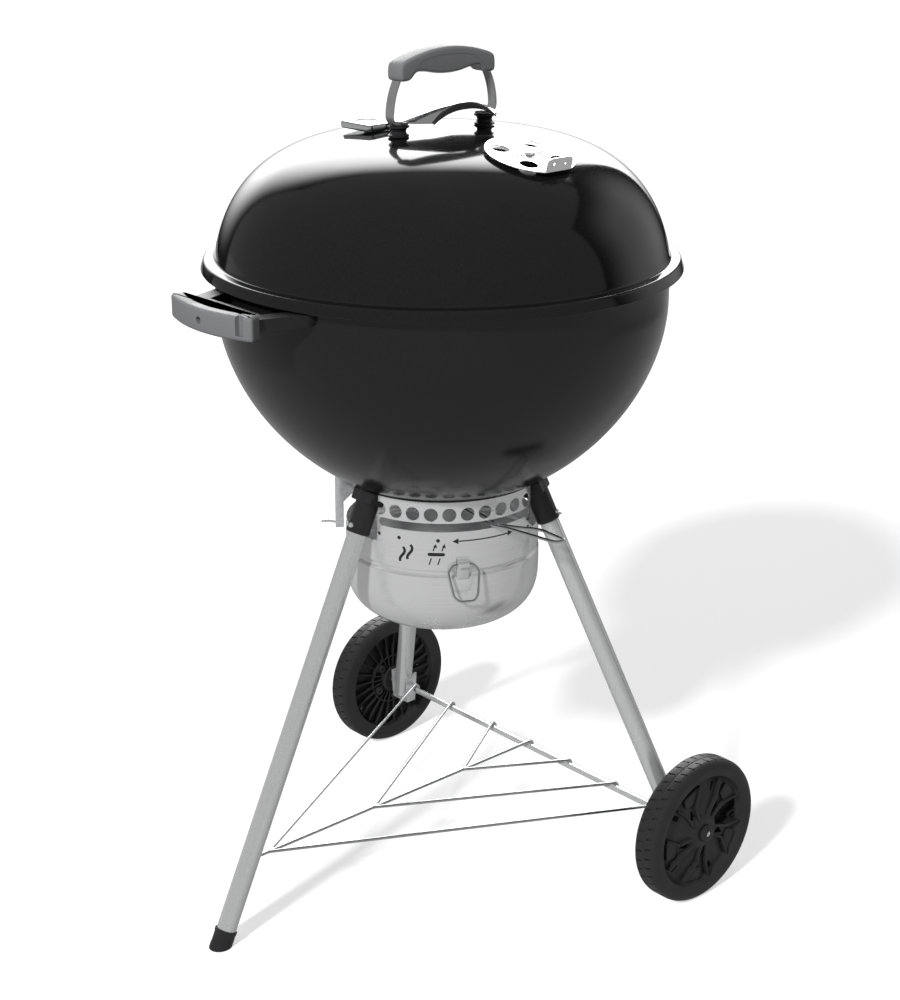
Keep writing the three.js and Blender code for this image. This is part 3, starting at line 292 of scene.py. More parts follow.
def refined(node, edge=0.35, segments=2):
    """A copy of a CAD node with its loose triangles merged and its sharp edges eased."""
    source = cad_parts[node]
    piece = bpy.data.objects.new(node + ".eased", source.data.copy())
    bpy.context.scene.collection.objects.link(piece)
    only(piece)
    bpy.ops.object.mode_set(mode="EDIT")
    bpy.ops.mesh.select_all(action="SELECT")
    bpy.ops.mesh.remove_doubles(threshold=1e-5)
    bpy.ops.mesh.dissolve_limited(angle_limit=math.radians(1))
    bpy.ops.object.mode_set(mode="OBJECT")
    return softened(piece, edge, segments) if edge else piece


def done(piece, name, body, finish, nodes=(), smooth=35):
    """Names a finished piece, gives it its material and sets it on its body."""
    only(piece)
    piece.name = name
    piece.data.name = name
    bpy.ops.object.shade_smooth_by_angle(angle=math.radians(smooth))
    piece.data.materials.clear()
    piece.data.materials.append(finish)
    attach(piece, body)
    if nodes:
        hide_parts(*nodes)
    return piece


# ---------------------------------------------------------------- shared effects
def effect(name, inputs, outputs):
    """A new shader node group with named sockets; returns it with its two end nodes."""
    group = bpy.data.node_groups.new(name, "ShaderNodeTree")
    for label, kind, value in inputs:
        socket = group.interface.new_socket(label, in_out="INPUT", socket_type=kind)
        if value is not None:
            socket.default_value = value
    for label, kind in outputs:
        group.interface.new_socket(label, in_out="OUTPUT", socket_type=kind)
    return group, group.nodes.new("NodeGroupInput"), group.nodes.new("NodeGroupOutput")


def link(tree, source, target):
    tree.links.new(target, source)


def make_grain():
    """Fine moulded or sprayed surface: bumps at one size, with a slower unevenness under them."""
    group, given, out = effect(
        "surface grain",
        [("Place", "NodeSocketVector", None), ("Size", "NodeSocketFloat", 900.0),
         ("Depth", "NodeSocketFloat", 0.00004), ("Wave Size", "NodeSocketFloat", 20.0),
         ("Wave Depth", "NodeSocketFloat", 0.0)],
        [("Normal", "NodeSocketVector"), ("Shade", "NodeSocketFloat")])
    fine = group.nodes.new("ShaderNodeTexNoise")
    fine.inputs["Detail"].default_value = 3.0
    slow = group.nodes.new("ShaderNodeTexNoise")
    slow.inputs["Detail"].default_value = 1.0
    first = group.nodes.new("ShaderNodeBump")
    second = group.nodes.new("ShaderNodeBump")
    link(group, given.outputs["Place"], fine.inputs["Vector"])
    link(group, given.outputs["Place"], slow.inputs["Vector"])
    link(group, given.outputs["Size"], fine.inputs["Scale"])
    link(group, given.outputs["Wave Size"], slow.inputs["Scale"])
    link(group, slow.outputs["Fac"], first.inputs["Height"])
    link(group, given.outputs["Wave Depth"], first.inputs["Distance"])
    link(group, fine.outputs["Fac"], second.inputs["Height"])
    link(group, given.outputs["Depth"], second.inputs["Distance"])
    link(group, first.outputs["Normal"], second.inputs["Normal"])
    link(group, second.outputs["Normal"], out.inputs["Normal"])
    link(group, fine.outputs["Fac"], out.inputs["Shade"])
    return group


def make_brushing():
    """Fine parallel scratches: noise squeezed along one direction by the stretch it is given."""
    group, given, out = effect(
        "brushed lines",
        [("Place", "NodeSocketVector", None), ("Stretch", "NodeSocketVector", (10.0, 10.0, 900.0)),
         ("Depth", "NodeSocketFloat", 0.00001)],
        [("Normal", "NodeSocketVector"), ("Shade", "NodeSocketFloat")])
    stretch = group.nodes.new("ShaderNodeVectorMath")
    stretch.operation = "MULTIPLY"
    lines = group.nodes.new("ShaderNodeTexNoise")
    lines.inputs["Scale"].default_value = 1.0
    lines.inputs["Detail"].default_value = 4.0
    bump = group.nodes.new("ShaderNodeBump")
    link(group, given.outputs["Place"], stretch.inputs[0])
    link(group, given.outputs["Stretch"], stretch.inputs[1])
    link(group, stretch.outputs["Vector"], lines.inputs["Vector"])
    link(group, lines.outputs["Fac"], bump.inputs["Height"])
    link(group, given.outputs["Depth"], bump.inputs["Distance"])
    link(group, bump.outputs["Normal"], out.inputs["Normal"])
    link(group, lines.outputs["Fac"], out.inputs["Shade"])
    return group


def make_handling():
    """Slow patches where a surface has been wiped and handled, as a roughness."""
    group, given, out = effect(
        "handled patches",
        [("Place", "NodeSocketVector", None), ("Size", "NodeSocketFloat", 6.0),
         ("Least", "NodeSocketFloat", 0.1), ("Most", "NodeSocketFloat", 0.2)],
        [("Roughness", "NodeSocketFloat")])
    patches = group.nodes.new("ShaderNodeTexNoise")
    patches.inputs["Detail"].default_value = 5.0
    patches.inputs["Roughness"].default_value = 0.62
    spread = group.nodes.new("ShaderNodeMapRange")
    spread.inputs["From Min"].default_value = 0.35
    spread.inputs["From Max"].default_value = 0.68
    link(group, given.outputs["Place"], patches.inputs["Vector"])
    link(group, given.outputs["Size"], patches.inputs["Scale"])
    link(group, patches.outputs["Fac"], spread.inputs["Value"])
    link(group, given.outputs["Least"], spread.inputs["To Min"])
    link(group, given.outputs["Most"], spread.inputs["To Max"])
    link(group, spread.outputs["Result"], out.inputs["Roughness"])
    return group


def make_dust():
    """How much dust lies on a surface: most on what faces up, in uneven patches."""
    group, given, out = effect(
        "settled dust",
        [("Place", "NodeSocketVector", None), ("Amount", "NodeSocketFloat", 0.1)],
        [("Cover", "NodeSocketFloat")])
    shape = group.nodes.new("ShaderNodeNewGeometry")
    split = group.nodes.new("ShaderNodeSeparateXYZ")
    facing = group.nodes.new("ShaderNodeMapRange")
    facing.inputs["From Min"].default_value = 0.1
    facing.inputs["From Max"].default_value = 1.0
    patches = group.nodes.new("ShaderNodeTexNoise")
    patches.inputs["Scale"].default_value = 14.0
    patches.inputs["Detail"].default_value = 6.0
    lie = group.nodes.new("ShaderNodeMath")
    lie.operation = "MULTIPLY"
    cover = group.nodes.new("ShaderNodeMath")
    cover.operation = "MULTIPLY"
    link(group, shape.outputs["Normal"], split.inputs["Vector"])
    link(group, split.outputs["Z"], facing.inputs["Value"])
    link(group, given.outputs["Place"], patches.inputs["Vector"])
    link(group, facing.outputs["Result"], lie.inputs[0])
    link(group, patches.outputs["Fac"], lie.inputs[1])
    link(group, lie.outputs["Value"], cover.inputs[0])
    link(group, given.outputs["Amount"], cover.inputs[1])
    link(group, cover.outputs["Value"], out.inputs["Cover"])
    return group


GRAIN = make_grain()
BRUSHING = make_brushing()
HANDLING = make_handling()
DUST = make_dust()


# ---------------------------------------------------------------- finishes
class Finish:
    """A material being put together: its shader and the effects wired into it."""

    def __init__(self, name, colour, metallic=0.0, roughness=0.4, **sockets):
        self.material = bpy.data.materials.new(name)
        self.material.use_nodes = True
        self.tree = self.material.node_tree
        self.shader = self.tree.nodes["Principled BSDF"]
        self.place = self.tree.nodes.new("ShaderNodeTexCoord").outputs["Object"]
        self.colour = (*colour, 1.0)
        self.set("Base Color", self.colour)
        self.set("Metallic", metallic)
        self.set("Roughness", roughness)
        for label, value in sockets.items():
            self.set(label.replace("_", " "), value)

    def set(self, label, value):
        self.shader.inputs[label].default_value = value

    def use(self, group, **values):
        node = self.tree.nodes.new("ShaderNodeGroup")
        node.node_tree = group
        link(self.tree, self.place, node.inputs["Place"])
        for label, value in values.items():
            node.inputs[label.replace("_", " ")].default_value = value
        return node

    def shaded(self, fac, dark, light, low=0.3, high=0.7):
        """Base colour running between two shades by a value."""
        spread = self.tree.nodes.new("ShaderNodeValToRGB")
        spread.color_ramp.elements[0].position = low
        spread.color_ramp.elements[1].position = high
        spread.color_ramp.elements[0].color = (*dark, 1.0)
        spread.color_ramp.elements[1].color = (*light, 1.0)
        link(self.tree, fac, spread.inputs["Fac"])
        link(self.tree, spread.outputs["Color"], self.shader.inputs["Base Color"])
        return spread.outputs["Color"]

    def dusted(self, under, amount, dust=(0.32, 0.3, 0.28)):
        """Dust over whatever colour lies under it."""
        cover = self.use(DUST, Amount=amount)
        mix = self.tree.nodes.new("ShaderNodeMix")
        mix.data_type = "RGBA"
        link(self.tree, cover.outputs["Cover"], mix.inputs["Factor"])
        if under is None:
            mix.inputs["A"].default_value = self.colour
        else:
            link(self.tree, under, mix.inputs["A"])
        mix.inputs["B"].default_value = (*dust, 1.0)
        link(self.tree, mix.outputs["Result"], self.shader.inputs["Base Color"])

    def handled(self, least, most, size=6.0):
        node = self.use(HANDLING, Least=least, Most=most, Size=size)
        link(self.tree, node.outputs["Roughness"], self.shader.inputs["Roughness"])

    def grained(self, size, depth, wave_size=20.0, wave_depth=0.0):
        node = self.use(GRAIN, Size=size, Depth=depth, Wave_Size=wave_size, Wave_Depth=wave_depth)
        link(self.tree, node.outputs["Normal"], self.shader.inputs["Normal"])
        return node.outputs["Shade"]

    def brushed(self, stretch, depth):
        node = self.use(BRUSHING, Stretch=stretch, Depth=depth)
        link(self.tree, node.outputs["Normal"], self.shader.inputs["Normal"])
        return node.outputs["Shade"]


def enamel_finish(name, least, most, wave):
    finish = Finish(name, (0.0045, 0.0045, 0.005), IOR=1.5)
    shade = finish.grained(420.0, 0.000006, 26.0, wave)
    base = finish.shaded(shade, (0.0035, 0.0035, 0.004), (0.006, 0.006, 0.0065))
    finish.dusted(base, 0.006)
    finish.handled(least, most, 5.0)
    return finish.material


def plastic_finish(name, dark, light, least, most, size, depth, dust=0.02):
    finish = Finish(name, dark)
    shade = finish.grained(size, depth)
    base = finish.shaded(shade, dark, light)
    finish.dusted(base, dust)
    finish.handled(least, most, 22.0)
    return finish.material


def metal_finish(name, dark, light, least, most, stretch, depth, metallic=1.0):
    finish = Finish(name, light, metallic=metallic)
    shade = finish.brushed(stretch, depth)
    finish.shaded(shade, dark, light)
    finish.handled(least, most, 9.0)
    return finish.material


SATIN = 0.78          # how metallic a matt surface is
LID_ENAMEL = enamel_finish("black enamel", 0.07, 0.12, 0.00008)
BOWL_ENAMEL = enamel_finish("black enamel on the bowl", 0.14, 0.2, 0.00006)
NYLON = plastic_finish("grey nylon", (0.12, 0.122, 0.125), (0.15, 0.152, 0.155), 0.42, 0.55, 1500.0, 0.00006)
BLACK_PLASTIC = plastic_finish(
    "black plastic", (0.009, 0.009, 0.010), (0.014, 0.014, 0.015), 0.36, 0.5, 1800.0, 0.00003, 0.012)
WHEEL_PLASTIC = plastic_finish(
    "wheel plastic", (0.010, 0.010, 0.011), (0.016, 0.016, 0.017), 0.4, 0.56, 1300.0, 0.00005, 0.03)
TURNED_ALUMINIUM = metal_finish(
    "turned aluminium", (0.80, 0.805, 0.81), (0.9, 0.9, 0.905), 0.22, 0.3, (14.0, 14.0, 1500.0), 0.0000008, SATIN)
POLISHED_ALUMINIUM = metal_finish(
    "polished aluminium", (0.86, 0.86, 0.87), (0.95, 0.95, 0.95), 0.1, 0.2, (1200.0, 30.0, 30.0), 0.000002)
CHROME = metal_finish(
    "bright chrome", (0.84, 0.85, 0.86), (0.93, 0.93, 0.94), 0.03, 0.09, (40.0, 40.0, 40.0), 0.000002)
SATIN_STEEL = metal_finish(
    "satin steel", (0.72, 0.725, 0.73), (0.82, 0.825, 0.83), 0.22, 0.3, (900.0, 900.0, 16.0), 0.0000012, SATIN)
GREY_STEEL = metal_finish(
    "grey strap steel", (0.34, 0.34, 0.345), (0.46, 0.46, 0.465), 0.3, 0.42, (900.0, 900.0, 30.0), 0.000008, SATIN)
PLATED_WIRE = metal_finish(
    "plated wire", (0.6, 0.61, 0.62), (0.76, 0.765, 0.77), 0.14, 0.24, (300.0, 300.0, 300.0), 0.000004)
ZINC = metal_finish(
    "zinc plated sheet", (0.68, 0.69, 0.7), (0.84, 0.845, 0.85), 0.26, 0.4, (260.0, 260.0, 260.0), 0.000003, SATIN)
HEATED_STEEL = metal_finish(
    "heat-proof dark steel", (0.035, 0.035, 0.037), (0.06, 0.06, 0.062), 0.35, 0.5, (700.0, 700.0, 60.0), 0.00001)
# Black for the side handle's plate, the gauge ticks and the printed marks on the ring; on the heat visor's lip and
# underside it is painted shade and a painted reflection of the dark lid.
BLACK_PRINT_AND_PAINTED_SHADE = plastic_finish(
    "black coating and print, painted shade on the visor", (0.008, 0.008, 0.009), (0.014, 0.014, 0.015), 0.25, 0.35, 900.0, 0.00002)


# ---------------------------------------------------------------- lid
lid_low, lid_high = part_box("lid_shell")
RIM_RADIUS = (lid_high.y - lid_low.y) / 2 / MM
RIM_Z = lid_low.z / MM
LID_TOP = lid_high.z / MM
SHEET = 1.6
SKIRT_TOP = RIM_Z + 13.5
DOME_RADIUS = RIM_RADIUS - 10.3
DOME_RISE = 271.8
DOME_BASE = LID_TOP - DOME_RISE
DOME_POWER = 3.24
DAMPER_REACH = 153
DAMPER_RADIUS = 54
DAMPER_SHEET = 1.3
DAMPER_LIFT = 1.0
HANDLE_REACH = 70


def dome_z(radius, wall=0.0):
    share = min(radius / (DOME_RADIUS - wall), 1.0)
    return DOME_BASE + (DOME_RISE - wall) * (1 - share ** DOME_POWER) ** (1 / DOME_POWER)


def dome_r(z, wall=0.0):
    share = (z - DOME_BASE) / (DOME_RISE - wall)
    return (DOME_RADIUS - wall) * (1 - share ** DOME_POWER) ** (1 / DOME_POWER)


def bent_profile(height_at, end, steps):
    """Profile points from the axis out to an end radius, closer together where it turns."""
    return [(end * math.sin(math.pi / 2 * i / steps), height_at(end * math.sin(math.pi / 2 * i / steps)))
            for i in range(steps + 1)]


slope = (dome_z(DAMPER_REACH + 0.01) - dome_z(DAMPER_REACH - 0.01)) / 0.02
DAMPER = stand((0, -DAMPER_REACH, dome_z(DAMPER_REACH)), (0, slope, 1), (1, 0, 0))


def damper_holes(radius, low, high):
    tools = []
    for azimuth in (45, 135, 225, 315):
        centre = polar(35, azimuth)
        tools.append(plate(arc(radius, 0, 352.5, 47, (centre.x, centre.y)), high - low, DAMPER, low=low))
    return tools


def make_lid_shell():
    join_z = 854.0
    outside = bent_profile(dome_z, dome_r(join_z), 60)
    inside = bent_profile(lambda r: dome_z(r, SHEET), dome_r(join_z, SHEET), 40)
    foot = dome_r(SKIRT_TOP + 4)
    edge = rounded([
        (dome_r(853), 853, 0), (foot + 0.6, SKIRT_TOP + 0.9, 0), (RIM_RADIUS - 4.2, SKIRT_TOP, 0),
        (RIM_RADIUS, RIM_Z + 0.6, 0), (RIM_RADIUS - 0.7, RIM_Z, 0), (RIM_RADIUS - SHEET, RIM_Z + 0.3, 0),
        (RIM_RADIUS - 6.1, SKIRT_TOP - SHEET, 0), (foot + 1.5, SKIRT_TOP - SHEET, 0), (dome_r(853, SHEET), 853, 0),
    ], 3.0, 5, closed=False)
    profile = outside + [(p.x, p.y) for p in edge] + inside[::-1]
    shell = turned(profile, steps=192)
    return carved(shell, damper_holes(10, -14, 6))


done(make_lid_shell(), "lid_dome", "lid", LID_ENAMEL, ["lid_shell"], smooth=40)


def make_damper_plate():
    chord = math.degrees(math.asin(-50 / DAMPER_RADIUS))
    disc = plate(arc(DAMPER_RADIUS, chord, 180 - chord, 96), DAMPER_SHEET, DAMPER, low=DAMPER_LIFT)
    half = math.sqrt(DAMPER_RADIUS ** 2 - 50 ** 2)
    top = DAMPER_LIFT + 16.5
    tab_corners = [(-half, DAMPER_LIFT), (half, DAMPER_LIFT), (half, top), (-half, top)]
    tab_outline = [tab_corners[0], tab_corners[1]] + arc(7, 0, 90, 8, (half - 7, top - 7))
    tab_outline += arc(7, 90, 180, 8, (7 - half, top - 7))
    upright = DAMPER @ Matrix.Translation((0, -(50 - DAMPER_SHEET) * MM, 0)) @ Matrix.Rotation(math.pi / 2, 4, "X")
    tab = plate(tab_outline, DAMPER_SHEET, upright)
    whole = combined(disc, tab, "UNION")
    tools = damper_holes(11, -2, 6)
    tools += [plate([(x + dx, dy) for dx, dy in slot_outline(13.5, 3.2, lean=90)], 8, DAMPER, low=-2)
              for x in (-28, -21, -14, 14, 21, 28)]
    through = upright @ Matrix.Translation((0, 0, -3 * MM))
    tools += [plate(arc(1.7, 0, 337.5, 15, (x, DAMPER_LIFT + 9)), 8, through) for x in (-9, 9)]
    return softened(carved(whole, tools), 0.3, 2, 50)


done(make_damper_plate(), "vent_disc", "damper", POLISHED_ALUMINIUM, ["lid_damper"])

rivet_top = DAMPER_LIFT + DAMPER_SHEET + 0.3
done(turned([(0, -7), (6.5, -7), (6.5, -5.6), (3.5, -5.6), (3.5, rivet_top), (6.8, rivet_top),
             (6.9, rivet_top + 0.5), (6.2, rivet_top + 1.4), (4.4, rivet_top + 2.1), (2.2, rivet_top + 2.4),
             (0, rivet_top + 2.5)], DAMPER, 48),
     "vent_rivet", "lid", SATIN_STEEL, ["damper_rivet"])


# ---------------------------------------------------------------- lid handle
def from_front(y):
    """A place for outlines drawn in x and z, its thickness running back from y to the front."""
    return Matrix.Translation((0, y * MM, 0)) @ KETTLE_SIDE


def strip(points, thickness):
    """The outline of a strip of even thickness along points."""
    sides = ([], [])
    for i, point in enumerate(points):
        along = (Vector(points[min(i + 1, len(points) - 1)]) - Vector(points[max(i - 1, 0)])).normalized()
        off = Vector((-along[1], along[0])) * thickness / 2
        sides[0].append((point[0] + off.x, point[1] + off.y))
        sides[1].append((point[0] - off.x, point[1] - off.y))
    return sides[0] + sides[1][::-1]


GRIP_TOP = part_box("lid_handle_grip")[1].z / MM
GRIP_HALF = 76


def make_handle_grip():
    crest = [(x, GRIP_TOP - 13.2 * (x / 72) ** 2) for x in range(70, -71, -10)]
    under = GRIP_TOP - 36
    corners = [(-GRIP_HALF, under), (-60, under), (-51, under + 10), (-37, under + 9), (-18, under + 5.2),
               (0, under + 4), (18, under + 5.2), (37, under + 9), (51, under + 10), (60, under),
               (GRIP_HALF, under), (GRIP_HALF + 0.5, under + 12), (GRIP_HALF - 1, under + 20)]
    corners += crest
    corners += [(1 - GRIP_HALF, under + 20), (-GRIP_HALF - 0.5, under + 12)]
    outline = [(p.x, p.y) for p in rounded(corners, 6, 4)]
    grip = cushion(outline, 27, 4.2, from_front(13.5), steps=5)
    seam = [(x, GRIP_TOP - 9.5 - 17 * abs(x / 62) ** 5 - 0.0016 * x * x) for x in range(-62, 63, 4)]
    for y in (-13.1, 14.9):
        grip = carved(grip, [plate(strip(seam, 0.7), 1.8, from_front(y))])
    return grip


done(make_handle_grip(), "handle_grip", "lid", NYLON, ["lid_handle_grip"], smooth=50)

STRAP_FOOT = 1010.55
for side, end in ((-1, "front"), (1, "rear")):
    path = rounded([(side * x, z) for x, z in (
        (60, STRAP_FOOT), (79, STRAP_FOOT), (83.5, STRAP_FOOT + 8), (82.5, STRAP_FOOT + 22),
        (78.5, STRAP_FOOT + 38), (69, STRAP_FOOT + 57.5))], 9, 5, closed=False)
    done(softened(plate(strip(path, 2.5), 14, from_front(7)), 0.7, 3), "handle_strap_" + end, "lid",
         GREY_STEEL, ["lid_handle_strap_" + end])
    post = Matrix.Translation((side * HANDLE_REACH * MM, 0, 0)) @ KETTLE
    low = dome_z(HANDLE_REACH - 13) + 0.3
    top = LID_TOP + 13
    done(turned([(3, low), (12.4, low), (13, low + 0.6), (13, low + 2), (10.2, low + 3.6), (9.2, low + 6.5),
                 (10.2, top - 3.6), (13, top - 2), (13, top - 0.5), (12.5, top), (3, top)], post, 64, closed=True),
         "handle_spacer_" + end, "lid", BLACK_PLASTIC, ["lid_handle_spacer_" + end])


def make_visor():
    """The polished heat shield: a saddle under the grip, highest along its turned-down near edge."""
    half, width, rise, low, lip = 76, 39, 19.5, 1013.2, 0.16
    bpy.ops.object.select_all(action="DESELECT")
    bpy.ops.mesh.primitive_grid_add(x_subdivisions=56, y_subdivisions=36, size=2, location=(0, 0, 0))
    piece = bpy.context.object
    for vertex in piece.data.vertices:
        u, share = vertex.co.x, (vertex.co.y + 1) / 2
        across = max(share - lip, 0) / (1 - lip)
        turn = (1 - min(share / lip, 1)) * math.pi / 2
        y = width * (2 * across - 1) - 2.4 * math.sin(turn)
        x = u * half * (1 - 0.34 * abs(2 * across - 1) ** 2.6)
        arch = 1 - abs(u) ** 2.4
        drop = 15.5 * across ** 1.3 * arch + (1 - math.cos(turn)) * (1.5 + 5.5 * arch)
        vertex.co = Vector((x, y, low + rise * arch - drop)) * MM
    only(piece)
    wall = piece.modifiers.new("sheet", "SOLIDIFY")
    wall.thickness = 1.2 * MM
    wall.offset = 1.0
    bpy.ops.object.modifier_apply(modifier=wall.name)
    return put(softened(piece, 0.3, 2, 60), KETTLE)


visor = done(make_visor(), "heat_visor", "lid", CHROME, ["lid_heat_shield"], smooth=60)
# The visor's turned-down near lip and its underside are painted black: a painted reflection of the dark lid in the
# polished lip, and painted shade under the shield.
visor.data.materials.append(BLACK_PRINT_AND_PAINTED_SHADE)
for face in visor.data.polygons:
    turned_down = (face.center.y - AXIS.y) / MM < -39.4
    face.material_index = 1 if face.normal.z < -0.3 or turned_down else 0


# ---------------------------------------------------------------- thermometer
bezel_low, bezel_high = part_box("thermometer_bezel")
BEZEL = (bezel_low + bezel_high) / 2 / MM - AXIS / MM
BEZEL_Z = bezel_low.z / MM
BEZEL_PLACE = Matrix.Translation(AXIS + Vector((BEZEL.x, BEZEL.y, 0)) * MM)


def make_bezel_block():
    outline = [(p.x, p.y) for p in rounded([(-20, -29), (20, -29), (20, 29), (-20, 29)], 8, 6)]
    block = cushion(outline, 9, 1.6, Matrix.Translation((0, 0, BEZEL_Z * MM)) @ BEZEL_PLACE, 3)
    well = turned([(0, BEZEL_Z + 2.6), (16.3, BEZEL_Z + 2.6), (16.3, BEZEL_Z + 8), (17.2, BEZEL_Z + 10),
                   (0, BEZEL_Z + 10)], BEZEL_PLACE, 64)
    stem = turned([(0, BEZEL_Z - 3), (3.3, BEZEL_Z - 3), (3.3, BEZEL_Z + 4), (0, BEZEL_Z + 4)], BEZEL_PLACE, 32)
    return carved(carved(block, [well]), [stem])


done(make_bezel_block(), "thermometer_block", "lid", CHROME, ["thermometer_bezel"])

DIAL_WHITE = plastic_finish("dial white", (0.72, 0.72, 0.7), (0.78, 0.78, 0.76), 0.4, 0.5, 900.0, 0.00001, 0.01)
DIAL_RED = plastic_finish("needle red", (0.5, 0.03, 0.02), (0.55, 0.04, 0.03), 0.35, 0.45, 900.0, 0.00001, 0.0)
GLASS = Finish("dial glass", (0.95, 0.97, 0.98), 0.0, 0.03, IOR=1.45, Alpha=0.18).material
GLASS.surface_render_method = "BLENDED"
face_z = BEZEL_Z + 8.2
done(turned([(0, face_z - 47), (2.6, face_z - 47), (3, face_z - 46), (3, face_z - 4.9), (15.6, face_z - 4.9), (16, face_z - 4.4),
             (16, face_z + 1), (15.4, face_z + 1.6), (14.2, face_z + 1.6), (13.8, face_z + 1), (13.8, face_z - 0.6),
             (0, face_z - 0.6)], BEZEL_PLACE, 64),
     "gauge_case", "lid", CHROME, ["thermometer_gauge"])
done(turned([(0, face_z - 0.5), (13.7, face_z - 0.5), (13.7, face_z - 0.2), (0, face_z - 0.2)], BEZEL_PLACE, 64),
     "gauge_face", "lid", DIAL_WHITE)
ticks = []
for i in range(25):
    turn = Matrix.Rotation(math.radians(225 - 270 * i / 24), 4, "Z")
    length = 2.6 if i % 4 == 0 else 1.5
    ticks.append(box((length, 0.45, 0.12), BEZEL_PLACE @ turn @ Matrix.Translation(
        Vector((12.6 - length / 2, 0, face_z - 0.1)) * MM)))
done(together(ticks), "gauge_marks", "lid", BLACK_PRINT_AND_PAINTED_SHADE)
needle = plate([(-3, -0.7), (9.8, -0.12), (9.8, 0.12), (-3, 0.7)], 0.2,
               BEZEL_PLACE @ Matrix.Rotation(math.radians(200), 4, "Z"), low=face_z + 0.15)
hub = turned([(0, face_z - 0.1), (1.4, face_z - 0.1), (1.4, face_z + 0.4), (0, face_z + 0.5)], BEZEL_PLACE, 24)
done(together([needle, hub]), "gauge_needle", "lid", DIAL_RED)
done(turned([(13.7, face_z + 0.6), (13.7, face_z + 0.9), (10, face_z + 1.5), (5, face_z + 1.85), (0, face_z + 1.95),
             (0, face_z + 1.65), (5, face_z + 1.55), (10, face_z + 1.2), (13.7, face_z + 0.6)], BEZEL_PLACE, 48),
     "gauge_glass", "lid", GLASS)


# ---------------------------------------------------------------- bowl
BOWL_RADIUS = RIM_RADIUS - 16.9
BOWL_EQUATOR = RIM_Z - 41.4
BOWL_DEPTH = 264.3
BOWL_POWER = 1.87
BOWL_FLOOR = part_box("bowl_shell")[0].z / MM
LIP_TOP = SKIRT_TOP - SHEET - 0.3


def bowl_z(radius, wall=0.0):
    share = min(radius / (BOWL_RADIUS - wall), 1.0)
    curve = BOWL_EQUATOR - (BOWL_DEPTH - wall) * (1 - share ** BOWL_POWER) ** (1 / BOWL_POWER)
    return max(curve, BOWL_FLOOR + wall)


def bowl_profile(grow=0.0):
    return bent_profile(lambda r: bowl_z(r) - grow, BOWL_RADIUS, 72)


def make_bowl_shell():
    inside = bent_profile(lambda r: bowl_z(r, SHEET), BOWL_RADIUS - SHEET, 48)
    lip = rounded([
        (BOWL_RADIUS, BOWL_EQUATOR + 6, 0), (BOWL_RADIUS, LIP_TOP - 10, 0), (BOWL_RADIUS + 9, LIP_TOP - 8, 0),
        (BOWL_RADIUS + 9, LIP_TOP, 0), (BOWL_RADIUS - SHEET, LIP_TOP, 0),
        (BOWL_RADIUS - SHEET, BOWL_EQUATOR + 6, 0)], 2.6, 4, closed=False)
    shell = turned(bowl_profile() + [(p.x, p.y) for p in lip] + inside[::-1], steps=160)
    vents = []
    for i in range(3):
        centre = polar(66, 30 + 120 * i)
        vents.append(plate(arc(19, 0, 352.5, 47, (centre.x, centre.y)), 20, KETTLE, low=BOWL_FLOOR - 6))
    vents.append(plate(arc(4.8, 0, 345, 23), 20, KETTLE, low=BOWL_FLOOR - 6))
    return carved(shell, vents)


done(make_bowl_shell(), "bowl", "kettle", BOWL_ENAMEL, ["bowl_shell"], smooth=40)


# ---------------------------------------------------------------- side handle, over the leg without a wheel
grip_low, grip_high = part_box("side_handle_grip")
BAR_TOP = grip_high.z / MM
BAR_HEIGHT = (grip_high.z - grip_low.z) / MM
BAR_MIDDLE = BAR_TOP - BAR_HEIGHT / 2
BAR_FACE = -(grip_low.x - AXIS.x) / MM
BAR_HALF = 79
BAR_BOW = 17


def bar_arc(reach, half, steps=24):
    return [(-(reach - BAR_BOW * (2 * i / steps - 1) ** 2), (2 * i / steps - 1) * half) for i in range(steps + 1)]


def make_side_bar():
    outline = bar_arc(BAR_FACE, BAR_HALF) + bar_arc(BAR_FACE - 17, BAR_HALF - 7)[::-1]
    outline = [(p.x, p.y) for p in rounded(outline, 4, 3)]
    place = Matrix.Translation((0, 0, (BAR_TOP - BAR_HEIGHT) * MM)) @ KETTLE
    bar = cushion(outline, BAR_HEIGHT, 4.5, place, 5)
    ends = []
    for end in (-1, 1):
        knuckle = cushion([(p.x, p.y) for p in rounded([
            (-356, end * 55), (-353, end * 76), (-337, end * 79), (-334, end * 60)], 6, 5)],
            BAR_HEIGHT + 2, 3.0, place, 4)
        ends.append(knuckle)
    for knuckle in ends:
        bar = combined(bar, knuckle, "UNION")
    hole = rod((-BAR_FACE - 4, 0, BAR_MIDDLE), (-BAR_FACE + 9, 0, BAR_MIDDLE), 4.4, 32)
    face = BAR_FACE - BAR_BOW * (63 / BAR_HALF) ** 2
    notch = plate([(p.x, p.y) for p in rounded(
        [(-face - 8, -58), (5 - face, -58), (5 - face, -68), (-face - 8, -68)], 1.5, 4)], BAR_HEIGHT, place, low=6)
    return carved(carved(bar, [hole]), [notch])


done(make_side_bar(), "side_handle_bar", "kettle", NYLON, ["side_handle_grip"], smooth=50)
done(refined("side_handle_bracket", 1.0, 3), "side_handle_arms", "kettle", BLACK_PLASTIC,
     ["side_handle_bracket"])
done(refined("side_handle_shield", 0.3), "side_handle_plate", "kettle", BLACK_PRINT_AND_PAINTED_SHADE,
     ["side_handle_shield"])


# ---------------------------------------------------------------- legs
AXLE_Z = 100.0
AXLE_X = 167.0
LEG_RADIUS = 12.7
LEG_KNEE = BOWL_FLOOR - 103
LEG_TOP = BOWL_FLOOR - 15
SOCKET_RADIUS = LEG_RADIUS + 2.6
PAD_WIDTH = 38
FEET = {"front": (180, Vector((-380, 0, 0))), "right": (-60, Vector((AXLE_X, -278, AXLE_Z))),
        "left": (60, Vector((AXLE_X, 278, AXLE_Z)))}


